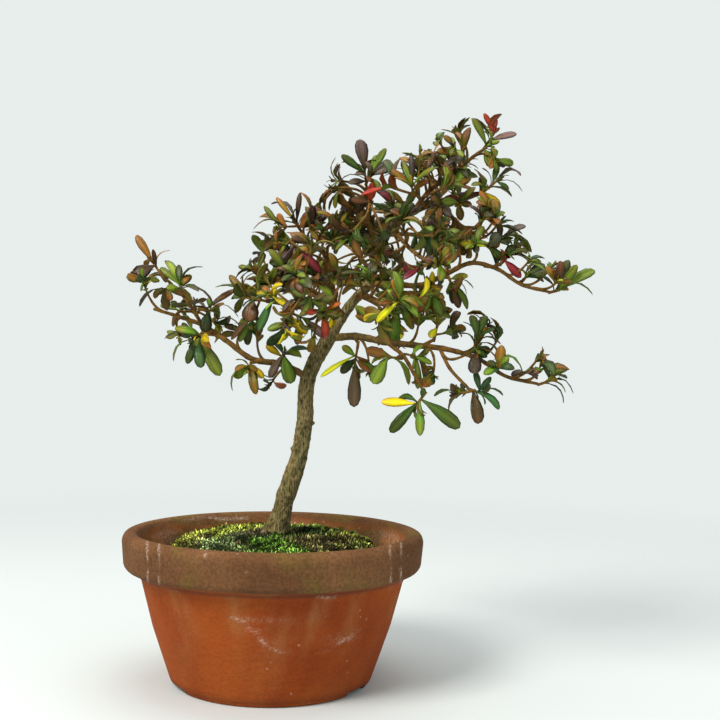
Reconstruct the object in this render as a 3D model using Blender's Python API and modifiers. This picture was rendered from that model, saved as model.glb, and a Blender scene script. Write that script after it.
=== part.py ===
"""Satsuki azalea bonsai in a round unglazed training pot.

Lengths in this file are millimetres, turned into metres when a mesh is made. +Z is up, +X is to the right,
and the origin is the centre of the pot's underside, on the surface that the pot stands on.

Places in the crown are written as they are seen from in front of the tree: across and down in a square
view 720 wide, and the depth behind the trunk's foot in millimetres. seen() turns them into real places.
"""

import math
from collections import namedtuple

import bmesh
import bpy
import numpy as np
from mathutils import Vector

MM = 0.001
GAP = 0.3

# The front view: how far off and how high the eye is, and its slight tilt
EYE_DISTANCE = 608.3
EYE_HEIGHT = 177.4
EYE_ASIDE = 49.7
EYE_PITCH = 0.0245
EYE_ROLL = -0.0197
VIEW_FOCAL = 1000.35
VIEW_CENTRE = 360.0

# Pot
RIM_RADIUS = 90.0
BAND_FOOT_RADIUS = 88.7
BODY_TOP_RADIUS = 78.4
FOOT_RADIUS = 59.1
POT_HEIGHT = 88.9
BAND_FOOT_HEIGHT = 67.9
FLOOR_THICKNESS = 9.0
POT_SIDES = 36
DRAIN_RADIUS = 6.5
DRAIN_DISTANCE = 27.0
DRAIN_SIDES = 16
CHANNEL_WIDTH = 20.0
CHANNEL_HEIGHT = 3.0
CHANNEL_SIDES = 20
DRAIN_ANGLES = (90, 210, 330)

# The pot's outer side from its rim down to its underside, and the inside from its floor up, as (radius, height)
POT_OUTER = (
    (84.5, POT_HEIGHT), (88.4, POT_HEIGHT - 0.9), (RIM_RADIUS, POT_HEIGHT - 4.5),
    (BAND_FOOT_RADIUS, BAND_FOOT_HEIGHT + 2.2), (BAND_FOOT_RADIUS - 1.4, BAND_FOOT_HEIGHT),
    (BODY_TOP_RADIUS + 2.2, BAND_FOOT_HEIGHT - 3.4), (BODY_TOP_RADIUS, BAND_FOOT_HEIGHT - 6.5), (71.2, 34.0),
    (FOOT_RADIUS + 1.3, 2.6), (FOOT_RADIUS - 0.8, 0.0), (0.0, 0.0))
POT_INNER = (
    (0.0, FLOOR_THICKNESS), (49.0, FLOOR_THICKNESS), (54.5, FLOOR_THICKNESS + 3.0), (71.5, 62.0),
    (79.9, POT_HEIGHT - 4.0), (81.7, POT_HEIGHT - 0.8))

# Nets over the drain holes
NET_SIZE = 20.0
NET_THICKNESS = 1.2
NET_HOLE = 6.0
NET_PITCH = 8.0

# Soil and moss, by radius and height of their tops, with the width of the gap between the soil and the pot
SOIL_TOP = ((0.0, 82.5), (30.0, 81.5), (50.0, 78.0), (62.0, 73.5))
SOIL_EDGE_HEIGHT = 69.0
SOIL_FOOT = (48.5, 13.0)
SOIL_WALL_GAP = 0.6
MOSS_TOP = ((0.0, 87.2), (14.0, 87.0), (28.0, 86.4), (42.0, 85.0), (54.0, 82.8), (61.0, 79.0))
MOSS_EDGE = (62.5, 75.5)
MOSS_UNDER_RADII = (60.0, 50.0, 30.0, 0.0)
MOSS_WAVE = 0.9
MOSS_STILL_RADIUS = 9.0
SOIL_SIDES = 20
MOSS_SIDES = 28

# Trunk foot
TRUNK_FOOT_RADIUS = 7.4
TRUNK_SUNK = 22.0
TRUNK_HOLE_RADIUS = 8.2
TRUNK_HOLE_SIDES = 20

# Twigs: how thick they are, and how long the straight stretches of the wood are
TWIG_RADIUS = 1.1
SIDE_TWIG_RADIUS = 1.0
STUB_RADIUS = 1.2
TWIG_SIDES = 4
TRUNK_STEP = 12.0
LIMB_STEP = 18.0
TWIG_STEP = 14.0
STUB_STEP = 6.0
LIMB_ROW = 1.0
TWIG_ROW = 0.5

# The room that a twig looks for, the bends it tries to get it, and where it may leave what bears it
ROOM_WANTED = 0.45
STUB_REACH = 0.7
SHORTEST_TWIG_ROWS = 7
FIRST_SIDE_ROW = 6
SIDE_TWIG_ROWS = 8
FIRST_LIMB_ROW = 8
LAST_LIMB_ROWS = 6
TWIG_BENDS = (
    (0, 0, 0), (0, 5, 2), (0, -5, 2), (0, 9, 4), (0, -9, 4), (0, 4, -6), (0, -4, -6), (6, 0, 4), (-6, 0, 4),
    (0, 14, 0), (0, -14, 0))

# Leaf blades. Each way that a told leaf is turned has its angle and arch, and each outline has places along
# the rib with shares of the full width
BLADE_THICKNESS = 0.9
BLADE_ROOT_WIDTH = 1.0
LEAST_TURNED_WIDTH = 5.5
BROAD_FROM = 11
BUD_LENGTH = 7.0
TOLD_POSES = {"B": (80, 0.05), "T": (45, 0.11), "E": (8, 0.17)}
LEAVES_TO_A_BUD = 4
OUTLINES = {
    "small": ((0.0, 0.2), (0.66, 1.0)),
    "plain": ((0.0, 0.2), (0.48, 0.84), (0.86, 0.84)),
    "broad": ((0.0, 0.2), (0.4, 0.72), (0.7, 1.0), (0.92, 0.7)),
}

# How far a told leaf may be bent back or forward, and how the leaves that aren't told are drawn
DEPTH_SHIFTS = (0, 4, -4, 8, -8, 12, -12)
GOLDEN_ANGLE = math.radians(137.5)
MORE_SEED = 7
MORE_TRIES = 14
MORE_LEAN = (42, 80)
MORE_LENGTH = (12.5, 19.0)
MORE_WIDTH = (5.2, 7.6)
MORE_ARCH = (0.07, 0.2)

# How far a blade keeps from twigs and blades of another node, and from those of its own
CLEAR_OF_BLADES = 2.7
CLEAR_OF_WOOD = 2.1
CLEAR_IN_SPRAY = 1.5
CLEAR_OF_OWN_TWIG = 1.0
BLADE_REACH = 26.0
WOOD_REACH = 24.0
STRETCH_ROWS = 10
SAMPLE_PLACES = np.array([0.14, 0.34, 0.54, 0.74, 0.94])
SAMPLE_SIDES = (-0.42, 0.0, 0.42)
OUTER_FROM = 0.3

Limb = namedtuple("Limb", "sides route")
Rosette = namedtuple("Rosette", "hub palette more leaves")
Tube = namedtuple("Tube", "node rows sides")
Blade = namedtuple("Blade", "node root tip normal width arch colour outline")

# Each limb: the sides of its tube, and its route as (across, down, depth, radius)
LIMBS = {
    "trunk": Limb(10, (
        (277, 536, 0, 7.4), (277.5, 529, 0, 7.0), (281.5, 513, -1, 5.9), (288.5, 488, -2, 5.5),
        (295.5, 468, -2, 5.2), (300.5, 449, -1, 4.8), (304.5, 424, 1, 5.0), (305.5, 398, 2, 4.7),
        (307, 382, 2, 4.7), (313, 366, 1, 4.5), (321, 350, 0, 4.6), (331, 336, 0, 3.9))),
    "leader": Limb(8, (
        (321, 350, 0, 4.2), (329, 338, 0, 4.0), (338, 323, -2, 3.5), (349, 307, -3, 3.2), (359, 294, 0, 3.1),
        (370, 282, 4, 3.1), (375, 262, 8, 3.0), (384, 238, 10, 3.1), (400, 220, 8, 3.0), (421, 207, 4, 2.7),
        (446, 200, 0, 2.2), (463, 199, -4, 1.7))),
    "second_stem": Limb(6, (
        (327, 341, 0, 2.4), (334, 322, 6, 2.4), (333, 298, 12, 2.3), (330, 274, 14, 2.0), (326, 256, 14, 1.7),
        (314, 243, 12, 1.4), (301, 236, 9, 1.2))),
    "top_shoot": Limb(6, (
        (412, 212, 5, 1.6), (428, 192, 0, 1.6), (449, 176, -6, 1.5), (465, 163, -9, 1.3), (478, 153, -10, 1.1))),
    "middle_stem": Limb(6, (
        (378, 256, 9, 1.6), (371, 236, 2, 1.5), (368, 214, -4, 1.3), (367, 192, -9, 1.1))),
    "long_right": Limb(6, (
        (368, 284, 3, 2.0), (390, 284, 0, 2.0), (411, 286, -5, 1.9), (430, 283, -10, 1.8), (446, 274, -14, 1.7),
        (461, 267, -17, 1.6), (476, 262, -19, 1.5), (490, 264, -20, 1.4), (505, 275, -22, 1.3),
        (520, 284, -23, 1.2), (536, 290, -24, 1.1), (549, 292, -24, 1.0))),
    "upper_right": Limb(6, (
        (440, 202, 1, 1.5), (452, 217, -8, 1.4), (463, 227, -13, 1.3), (478, 239, -17, 1.2))),
    "low_right": Limb(6, (
        (331, 338, 0, 2.5), (346, 333, -5, 2.4), (362, 338, -9, 2.3), (385, 342, -12, 2.2), (414, 345, -16, 2.0),
        (442, 349, -20, 1.8), (465, 352, -24, 1.6), (480, 360, -27, 1.4), (492, 370, -29, 1.3),
        (508, 377, -31, 1.2), (524, 381, -33, 1.1), (538, 384, -34, 1.0))),
    "droop": Limb(6, (
        (388, 343, -13, 1.5), (399, 350, -19, 1.4), (406, 361, -26, 1.3), (413, 372, -33, 1.2),
        (421, 382, -38, 1.1), (424, 392, -41, 1.0))),
    "droop_tip": Limb(6, (
        (440, 349, -20, 1.3), (447, 362, -26, 1.2), (455, 377, -30, 1.1), (468, 388, -32, 1.0))),
    "low_left": Limb(6, (
        (309, 378, 2, 2.3), (287, 366, -4, 2.1), (263, 360, -9, 2.0), (247, 358, -11, 1.9), (235, 348, -12, 1.8),
        (222, 337, -11, 1.7), (208, 328, -8, 1.6), (195, 322, -4, 1.4), (180, 317, 1, 1.3), (167, 312, 5, 1.2),
        (154, 309, 8, 1.1))),
    "left_tip": Limb(6, (
        (203, 326, -7, 1.3), (196, 313, -11, 1.2), (189, 303, -14, 1.2), (181, 294, -17, 1.1),
        (170, 283, -19, 1.0), (161, 274, -20, 0.9))),
    "left_middle": Limb(6, (
        (334, 315, 8, 1.6), (318, 312, 0, 1.5), (301, 308, -10, 1.4), (284, 304, -18, 1.3), (266, 301, -22, 1.1))),
    "left_high": Limb(6, (
        (331, 285, 13, 1.5), (314, 283, 16, 1.4), (296, 281, 16, 1.3), (278, 279, 12, 1.1))),
    "front_left": Limb(6, (
        (344, 315, -3, 1.7), (332, 304, -22, 1.6), (318, 294, -42, 1.4), (303, 284, -60, 1.1))),
    "front_middle": Limb(6, (
        (356, 298, -1, 1.7), (364, 296, -24, 1.6), (378, 303, -46, 1.4), (392, 306, -64, 1.1))),
    "front_right": Limb(6, (
        (392, 228, 9, 1.6), (402, 240, -14, 1.5), (414, 252, -38, 1.4), (428, 262, -58, 1.1))),
    "front_top": Limb(6, (
        (424, 206, 4, 1.5), (421, 200, -18, 1.4), (418, 196, -38, 1.1))),
    "back_left": Limb(6, (
        (334, 305, 10, 1.7), (320, 298, 34, 1.6), (303, 291, 56, 1.4), (288, 284, 74, 1.1))),
    "back_middle": Limb(6, (
        (372, 276, 5, 1.7), (364, 262, 30, 1.6), (354, 251, 56, 1.4), (345, 244, 80, 1.1))),
    "back_right": Limb(6, (
        (386, 235, 10, 1.7), (404, 234, 36, 1.6), (424, 236, 60, 1.4), (444, 238, 82, 1.1))),
    "back_low": Limb(6, (
        (360, 292, 0, 1.7), (380, 302, 26, 1.6), (402, 312, 50, 1.4), (424, 319, 70, 1.1))),
    "back_top": Limb(6, (
        (432, 203, 3, 1.5), (440, 196, 24, 1.4), (449, 188, 46, 1.1))),
}

# Leaf colours by letter, as red, green and blue
COLOURS = {
    "g": (0.10, 0.19, 0.035), "o": (0.16, 0.16, 0.03), "d": (0.035, 0.08, 0.025), "l": (0.22, 0.33, 0.10),
    "y": (0.55, 0.45, 0.02), "n": (0.52, 0.20, 0.02), "r": (0.38, 0.06, 0.02), "c": (0.20, 0.02, 0.04),
    "p": (0.13, 0.10, 0.13), "z": (0.26, 0.13, 0.05), "k": (0.09, 0.045, 0.03), "t": (0.05, 0.14, 0.09),
}

# Each spray: the limb that bears it, and its rosettes. A rosette has its hub, the letters that its other
# leaves draw their colour from, how many of those there are, and the leaves that can be told apart, as
# (across, down, towards the back, width in the view, how it is turned and its colour). B faces the front,
# E is seen on its edge and T is between the two.
SPRAYS = {
    "left_tip_spray": ("left_tip", (
        Rosette((154, 264, -20), "zkd", 1, (
            (136, 235, 2, 9, "Bz"), (133, 278, -4, 17, "Bk"), (170, 250, 2, 5, "Ez"), (153, 249, -5, 5, "Bk"),
            (166, 283, 4, 5, "Ek"))),)),
    "left_tip_low_spray": ("left_tip", (
        Rosette((166, 289, -10), "odk", 1, (
            (154, 298, -2, 6, "To"), (139, 306, 4, 5, "Ep"), (171, 301, -5, 7, "Bo"))),)),
    "left_outer_spray": ("left_tip", (
        Rosette((181, 286, -28), "gd", 0, (
            (160, 267, 2, 7, "Bg"), (178, 264, 5, 8, "Bd"), (203, 267, -3, 6, "Ed"), (166, 259, 8, 5, "Tg"),
            (198, 290, -6, 6, "Td"), (213, 304, 0, 6, "Ep"))),)),
    "left_middle_spray": ("left_tip", (
        Rosette((211, 311, -14), "gok", 0, (
            (209, 297, 4, 6, "Bg"), (224, 303, -4, 5, "Bo"), (205, 332, -3, 12, "Bd"), (191, 304, 2, 6, "Ep"),
            (236, 289, 0, 7, "Bk"), (239, 318, -3, 5, "Ed"))),)),
    "left_back_spray": ("low_left", (
        Rosette((180, 311, 8), "ogl", 1, (
            (160, 304, 2, 8, "Bl"), (171, 326, -3, 8, "Bo"), (190, 307, 3, 8, "To"))),
        Rosette((216, 324, 4), "ogy", 1, ((219, 339, -3, 8, "By"), (240, 325, -4, 6, "Eo"))))),
    "left_lower_spray": ("low_left", (
        Rosette((195, 341, -10), "gdt", 0, (
            (164, 339, 0, 6, "Ed"), (182, 323, 4, 7, "Bg"), (173, 361, -3, 6, "Eg"), (187, 364, -4, 9, "Bd"),
            (201, 368, -6, 11, "Bt"), (220, 376, -8, 13, "Bl"), (209, 333, -4, 5, "Bn"))),)),
    "left_hanging_spray": ("low_left", (
        Rosette((249, 367, -20), "god", 0, (
            (236, 360, 2, 6, "Eg"), (235, 371, -4, 6, "To"), (232, 391, 0, 7, "Eg"), (256, 394, -6, 10, "Bo"),
            (264, 378, 3, 8, "By"))),)),
    "trunk_side_spray": ("low_left", (
        Rosette((284, 353, -16), "gdp", 0, (
            (269, 378, -2, 9, "Bp"), (291, 384, -5, 14, "Bg"), (309, 350, 4, 10, "Tt"), (266, 345, 2, 8, "By"))),)),
    "left_knot_spray": ("left_middle", (
        Rosette((247, 298, -24), "odk", 1, (
            (229, 275, 4, 8, "Bo"), (215, 287, 2, 6, "Ed"), (249, 321, -5, 17, "Bk"))),
        Rosette((253, 319, -16), "gdk", 0, ((239, 342, 0, 7, "Bg"), (247, 345, 4, 9, "Bd"), (231, 340, 3, 6, "Bk"))))),
    "yellow_spray": ("left_middle", (
        Rosette((292, 322, -26), "gyr", 0, (
            (267, 330, -2, 9, "Bl"), (277, 344, -4, 10, "By"), (284, 313, -3, 5, "Br"), (307, 333, 4, 8, "By"))),
        Rosette((272, 296, -30), "lgy", 0, ((288, 307, -3, 7, "By"), (258, 331, 3, 10, "Bt"))),
        Rosette((303, 318, -20), "pkg", 0, ((326, 337, -2, 10, "Bp"), (297, 345, 3, 9, "Bt"))))),
    "left_crest_spray": ("left_high", (
        Rosette((254, 271, 10), "gdo", 2, ((238, 266, 3, 6, "Bg"), (264, 254, 0, 6, "Bg"))),
        Rosette((270, 284, 4), "dgk", 1, ((288, 279, -3, 13, "Bk"),)))),
    "crest_front_spray": ("second_stem", (
        Rosette((287, 244, -2), "gpo", 0, (
            (258, 262, 0, 7, "Eg"), (279, 272, -5, 8, "Bk"), (298, 264, -4, 10, "Bp"))),
        Rosette((300, 249, -6), "pgc", 0, ((321, 273, -4, 10, "Bc"),)))),
    "crest_tip_spray": ("second_stem", (
        Rosette((294, 221, 8), "odk", 0, (
            (276, 197, 2, 6, "Bo"), (271, 205, 4, 6, "Ep"), (300, 192, 0, 6, "Bk"), (321, 207, 0, 5, "Ep"),
            (310, 217, -3, 14, "Bz"))),
        Rosette((280, 227, 2), "goz", 0, (
            (264, 206, 3, 6, "Bg"), (259, 217, 0, 6, "To"), (253, 230, -3, 6, "Eo"), (264, 251, -5, 9, "Bz"))))),
    "crest_right_spray": ("second_stem", (
        Rosette((335, 236, 8), "ogd", 0, (
            (333, 213, 0, 8, "Bo"), (315, 215, 3, 5, "Eg"), (316, 226, 5, 6, "Td"), (341, 224, -3, 6, "Ed"))),
        Rosette((356, 233, 2), "dgz", 0, ((341, 226, 3, 7, "Ed"), (363, 209, 2, 9, "Bz"), (343, 213, -3, 5, "Tz"))))),
    "peak_spray": ("middle_stem", (
        Rosette((365, 172, -11), "dpo", 0, (
            (360, 139, -2, 13, "Bp"), (341, 155, -3, 9, "Bd"), (342, 161, 4, 6, "Eo"), (336, 190, 0, 8, "Ep"),
            (349, 183, -5, 9, "Bp"))),
        Rosette((370, 176, -16), "pgk", 0, ((393, 165, -3, 13, "Bp"), (386, 148, 3, 8, "Bg"))))),
    "below_peak_spray": ("middle_stem", (
        Rosette((370, 203, -14), "kzr", 1, ((351, 200, -3, 10, "Bk"), (352, 213, 3, 8, "Bk"), (390, 211, 2, 7, "Bd"))),
        Rosette((352, 232, -34), "gdk", 2, ()),
        Rosette((385, 238, -30), "gdo", 2, ()))),
    "red_leaf_spray": ("front_top", (
        Rosette((390, 187, -40), "ogr", 0, ((361, 194, -3, 6, "Br"), (400, 158, 3, 6, "Ep"), (384, 160, 2, 5, "Td"))),
        Rosette((412, 187, -44), "og", 1, (
            (391, 170, 3, 8, "Bo"), (402, 160, 0, 8, "Bg"), (411, 152, 4, 6, "Bp"), (428, 180, -3, 9, "Bo"))))),
    "olive_spray": ("leader", (
        Rosette((424, 176, -12), "og", 1, ((432, 153, 2, 12, "Bz"), (416, 158, 5, 5, "Eo"), (403, 168, 3, 8, "Bo"))),)),
    "crown_left_spray": ("top_shoot", (
        Rosette((463, 153, -19), "ogp", 1, (
            (441, 129, 0, 7, "Eo"), (456, 132, 4, 7, "To"), (443, 167, -5, 8, "Bp"), (437, 150, 2, 10, "Bz"))),)),
    "crown_tip_spray": ("top_shoot", (
        Rosette((487, 147, -12), "gdp", 0, (
            (472, 118, 0, 9, "Bg"), (500, 141, 2, 8, "Tl"), (494, 168, -4, 13, "Bg"), (473, 150, 3, 6, "Tp"))),
        Rosette((494, 134, -8), "rpk", 0, (
            (484, 113, -2, 6, "Br"), (495, 117, 3, 7, "Br"), (502, 114, 2, 4, "Er"), (517, 134, -4, 9, "Bp"))))),
    "crown_inner_spray": ("top_shoot", (
        Rosette((452, 190, -18), "lgd", 1, ((466, 166, 0, 10, "Bl"), (446, 163, 3, 10, "Bl"), (474, 190, -3, 6, "To"))),)),
    "upper_right_spray": ("leader", (
        Rosette((498, 180, -14), "dgp", 1, (
            (518, 172, 0, 6, "Ed"), (509, 189, -4, 6, "Bd"), (523, 191, 2, 6, "Ep"), (498, 164, 2, 7, "Bd"),
            (482, 168, 3, 6, "Eg"))),
        Rosette((481, 191, -10), "gyo", 1, ((501, 205, -2, 8, "By"), (512, 196, 3, 5, "Eg"), (441, 202, -8, 11, "Bc"))))),
    "right_upper_spray": ("upper_right", (
        Rosette((485, 217, -18), "gdo", 2, ((504, 216, 0, 6, "Ed"), (485, 200, 2, 7, "Bg"), (470, 207, 3, 6, "Eg"))),)),
    "right_spray": ("upper_right", (
        Rosette((489, 248, -21), "pgd", 0, (
            (499, 233, -4, 11, "Bp"), (460, 243, -3, 9, "By"), (505, 261, 3, 9, "Bg"))),
        Rosette((502, 240, -16), "gdp", 0, (
            (526, 226, 0, 7, "Tp"), (518, 232, 4, 6, "Tg"), (533, 258, -3, 6, "Eg"), (531, 246, 3, 5, "Eg"))))),
    "right_lower_spray": ("long_right", (
        Rosette((503, 259, -24), "cgo", 1, ((521, 278, -4, 10, "Bc"), (531, 263, 3, 6, "Eg"))),)),
    "far_right_side_spray": ("long_right", (
        Rosette((526, 277, -22), "odg", 0, ((518, 268, 3, 6, "Eo"), (547, 273, -3, 8, "Bd"), (545, 264, 4, 6, "Ed"))),)),
    "far_right_spray": ("long_right", (
        Rosette((560, 290, -25), "lgo", 0, (
            (569, 263, 0, 9, "Bl"), (577, 265, -4, 10, "Bg"), (595, 270, -4, 11, "Bl"), (593, 295, 2, 6, "Eg"),
            (541, 276, 3, 7, "Td"))),)),
    "knuckle_spray": ("long_right", (
        Rosette((451, 283, -22), "gdo", 1, (
            (474, 288, 0, 7, "Eg"), (467, 294, -4, 6, "Eg"), (467, 310, 0, 8, "Tg"), (453, 304, 4, 7, "Bd"),
            (468, 276, -3, 8, "Bl"))),)),
    "knuckle_back_spray": ("long_right", (
        Rosette((447, 258, -8), "gok", 1, ((447, 228, 2, 9, "Bg"), (457, 233, -3, 9, "Bk"), (461, 256, 3, 8, "Eg"))),)),
    "right_hanging_spray": ("long_right", (
        Rosette((398, 302, -12), "glo", 1, ((392, 346, -3, 13, "Bl"), (413, 330, -5, 10, "Bg"), (418, 318, 3, 8, "Bo"))),)),
    "spiky_spray": ("low_right", (
        Rosette((477, 340, -30), "dgn", 1, (
            (471, 315, 2, 5, "Td"), (487, 315, 3, 6, "Td"), (495, 329, -3, 7, "Td"), (501, 345, 0, 6, "Ed"),
            (500, 355, -4, 6, "Ed"), (462, 322, 0, 5, "Ed"), (459, 333, -3, 5, "Ed"))),
        Rosette((476, 350, -33), "pzd", 0, ((474, 374, -5, 13, "Bp"), (498, 369, 2, 8, "Ez"))))),
    "low_right_upright_spray": ("low_right", (
        Rosette((438, 322, -22), "ogy", 0, ((438, 297, -2, 15, "Bo"), (427, 311, 2, 5, "Bg"), (430, 338, -3, 9, "By"))),
        Rosette((452, 332, -18), "dg", 1, ((461, 327, -3, 8, "Bd"), (459, 311, 3, 7, "Tk"))))),
    "far_low_spray": ("low_right", (
        Rosette((550, 381, -35), "dgp", 0, (
            (543, 356, 0, 8, "Bd"), (568, 369, -3, 7, "Tg"), (567, 379, 4, 6, "Ed"), (574, 393, 0, 6, "Ep"),
            (563, 404, 2, 4, "Ek"))),)),
    "low_side_spray": ("low_right", (
        Rosette((526, 373, -38), "pgk", 0, ((511, 375, -2, 9, "Tp"), (542, 371, -4, 8, "Bk"), (493, 359, 2, 6, "Eg"))),)),
    "low_tip_spray": ("droop_tip", (
        Rosette((480, 393, -34), "dkg", 0, (
            (475, 371, 0, 7, "Bd"), (491, 377, -3, 7, "Bd"), (503, 396, 2, 6, "Ed"), (499, 410, 0, 6, "Td"),
            (478, 424, -6, 13, "Bk"))),
        Rosette((458, 394, -32), "kgo", 0, ((434, 397, -2, 9, "Eo"), (464, 383, 3, 7, "Bk"))))),
    "lowest_spray": ("droop", (
        Rosette((417, 404, -42), "glo", 0, (
            (381, 402, 0, 10, "By"), (398, 397, 4, 6, "Tg"), (390, 432, -4, 11, "Bl"), (420, 436, -5, 10, "Bg"),
            (460, 428, -4, 14, "Bl"), (424, 388, 3, 6, "Bg"), (443, 405, 3, 6, "Eg"))),)),
    "low_front_spray": ("droop", (
        Rosette((388, 357, -34), "glo", 0, ((373, 384, -4, 14, "Bl"), (410, 384, 2, 7, "Eg"), (366, 350, -3, 12, "Bz"))),
        Rosette((417, 357, -26), "gol", 1, ((418, 389, -3, 8, "Bl"), (432, 364, -4, 7, "Bg"), (423, 345, 2, 6, "Eg"))))),
    "trunk_front_spray": ("low_right", (
        Rosette((355, 362, -22), "gdz", 0, (
            (354, 407, -5, 13, "Bz"), (379, 376, 3, 8, "Tg"), (341, 373, -3, 10, "Bd"), (342, 346, 2, 8, "Bg"),
            (320, 377, 5, 6, "By"))),)),
    "front_left_spray": ("front_left", (
        Rosette((296, 276, -66), "gokd", 3, ()), Rosette((312, 300, -58), "gdk", 2, ()))),
    "front_left_low_spray": ("front_left", (
        Rosette((322, 312, -46), "gro", 2, ((341, 303, -3, 6, "Bn"),)), Rosette((300, 300, -50), "gdp", 2, ()))),
    "front_middle_spray": ("front_middle", (
        Rosette((399, 301, -72), "glo", 3, ((376, 322, 2, 8, "By"),)), Rosette((378, 318, -60), "ogy", 2, ()))),
    "front_middle_high_spray": ("front_middle", (
        Rosette((372, 278, -44), "gpd", 3, ()), Rosette((352, 285, -38), "gdo", 2, ()))),
    "front_right_spray": ("front_right", (
        Rosette((440, 264, -66), "gdo", 2, ((424, 260, 2, 7, "Tk"), (452, 244, -2, 9, "Bg"))),
        Rosette((421, 268, -60), "cgd", 2, ((402, 279, -3, 8, "Bc"),)))),
    "front_right_high_spray": ("front_right", (
        Rosette((402, 222, -36), "gdk", 2, ()), Rosette((421, 236, -48), "tgd", 2, ((426, 248, -3, 13, "Bt"),)))),
    "back_left_spray": ("back_left", (
        Rosette((280, 276, 80), "god", 3, ()), Rosette((300, 268, 70), "gkd", 2, ()))),
    "back_left_low_spray": ("back_left", (
        Rosette((296, 306, 56), "gyo", 2, ()), Rosette((322, 282, 48), "gdp", 2, ()))),
    "back_middle_spray": ("back_middle", (
        Rosette((338, 240, 86), "god", 3, ()), Rosette((358, 234, 76), "gkd", 2, ()))),
    "back_middle_low_spray": ("back_middle", (
        Rosette((345, 268, 52), "gyo", 2, ()), Rosette((378, 250, 46), "gdp", 2, ()))),
    "back_right_spray": ("back_right", (
        Rosette((454, 234, 90), "god", 3, ()), Rosette((438, 220, 78), "gkd", 2, ()))),
    "back_right_low_spray": ("back_right", (
        Rosette((432, 252, 58), "gyo", 2, ()), Rosette((404, 218, 46), "gdp", 2, ()))),
    "back_low_spray": ("back_low", (
        Rosette((434, 316, 76), "god", 3, ()), Rosette((414, 302, 66), "gkd", 2, ()))),
    "back_low_inner_spray": ("back_low", (
        Rosette((400, 326, 44), "gyo", 2, ()), Rosette((384, 286, 38), "gdp", 2, ()))),
    "back_top_spray": ("back_top", (
        Rosette((456, 180, 56), "god", 3, ()), Rosette((442, 172, 44), "gkd", 2, ()))),
}


def seen(across, down, depth):
    """The real place of a point of the front view that lies this far back."""
    right, up = across - VIEW_CENTRE, VIEW_CENTRE - down
    roll_cos, roll_sin = math.cos(EYE_ROLL), math.sin(EYE_ROLL)
    right, up = right * roll_cos + up * roll_sin, up * roll_cos - right * roll_sin
    pitch_cos, pitch_sin = math.cos(EYE_PITCH), math.sin(EYE_PITCH)
    ray = np.array([right / VIEW_FOCAL, pitch_cos - up / VIEW_FOCAL * pitch_sin,
                    pitch_sin + up / VIEW_FOCAL * pitch_cos])
    reach = (depth + EYE_DISTANCE) / ray[1]
    return np.array([EYE_ASIDE, -EYE_DISTANCE, EYE_HEIGHT]) + ray * reach


def unit(vector):
    """The vector with length one."""
    return vector / np.linalg.norm(vector)


def smooth(points, step):
    """A smooth line through the points, as rows about this far apart. A row may carry a radius too."""
    points = np.asarray(points, float)
    padded = np.vstack([2 * points[0] - points[1], points, 2 * points[-1] - points[-2]])
    rows = [points[:1]]
    for before, start, end, after in zip(padded, padded[1:], padded[2:], padded[3:]):
        count = max(1, round(np.linalg.norm((end - start)[:3]) / step))
        t = (np.arange(1, count + 1) / count)[:, None]
        rows.append(0.5 * (2 * start + (end - before) * t + (2 * before - 5 * start + 4 * end - after) * t**2
                           + (3 * start - before - 3 * end + after) * t**3))
    return np.vstack(rows)


def thinned(rows, step):
    """Every row of a fine line that is about this far from the one before, with both ends."""
    run = np.concatenate([[0], np.cumsum(np.linalg.norm(np.diff(rows[:, :3], axis=0), axis=1))])
    count = max(1, round(run[-1] / step))
    places = np.linspace(0, run[-1], count + 1)
    return np.column_stack([np.interp(places, run, column) for column in rows.T])


def filled(rows, step):
    """The same straight stretches, with rows about this far apart."""
    pieces = [rows[:1]]
    for start, end in zip(rows, rows[1:]):
        count = max(1, round(np.linalg.norm((end - start)[:3]) / step))
        pieces.append(start + (end - start) * (np.arange(1, count + 1) / count)[:, None])
    return np.vstack(pieces)


def distances(points, line):
    """How far each point is from the nearest stretch of a line."""
    starts, steps = line[:-1, :3], np.diff(line[:, :3], axis=0)
    lengths = np.maximum((steps**2).sum(1), 1e-9)
    away = points[:, None] - starts[None]
    t = np.clip((away * steps).sum(2) / lengths, 0, 1)
    return np.linalg.norm(away - t[..., None] * steps, axis=2).min(1)


def limb_tubes():
    """The tube of each limb, whose rows hold a place and the radius there."""
    tubes = {}
    for name, limb in LIMBS.items():
        rows = [(*seen(across, down, depth), radius) for across, down, depth, radius in limb.route]
        if name == "trunk":
            foot = np.array(rows[0])
            rows[:0] = [(foot[0], foot[1], foot[2] - TRUNK_SUNK, TRUNK_FOOT_RADIUS),
                        (foot[0], foot[1], foot[2] - 4, TRUNK_FOOT_RADIUS)]
        step = TRUNK_STEP if name == "trunk" else LIMB_STEP
        tubes[name] = Tube(name, thinned(smooth(rows, LIMB_ROW), step), limb.sides)
    return tubes


def bent_line(start, along, end, bend):
    """A twig's middle line: it leaves start along its limb and bends to end."""
    reach = np.linalg.norm(end - start)
    middle = start + along * 0.45 * reach + bend
    count = max(16, round(reach / TWIG_ROW))
    t = np.linspace(0, 1, count + 1)[:, None]
    return (1 - t) ** 2 * start + 2 * t * (1 - t) * middle + t**2 * end


def seated(twig, along):
    """The twig with its flat foot held just off the flat end that bears it, which faces this way."""
    way = unit(twig[1, :3] - twig[0, :3])
    lean = math.sqrt(max(0.0, 1 - way.dot(along) ** 2))
    twig = twig.copy()
    twig[0, :3] += along * (GAP + twig[0, 3] * lean)
    return twig


def tapered(line, start_radius, end_radius):
    """A line's places with the radius at each."""
    return np.column_stack([line, np.linspace(start_radius, end_radius, len(line))])


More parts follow.
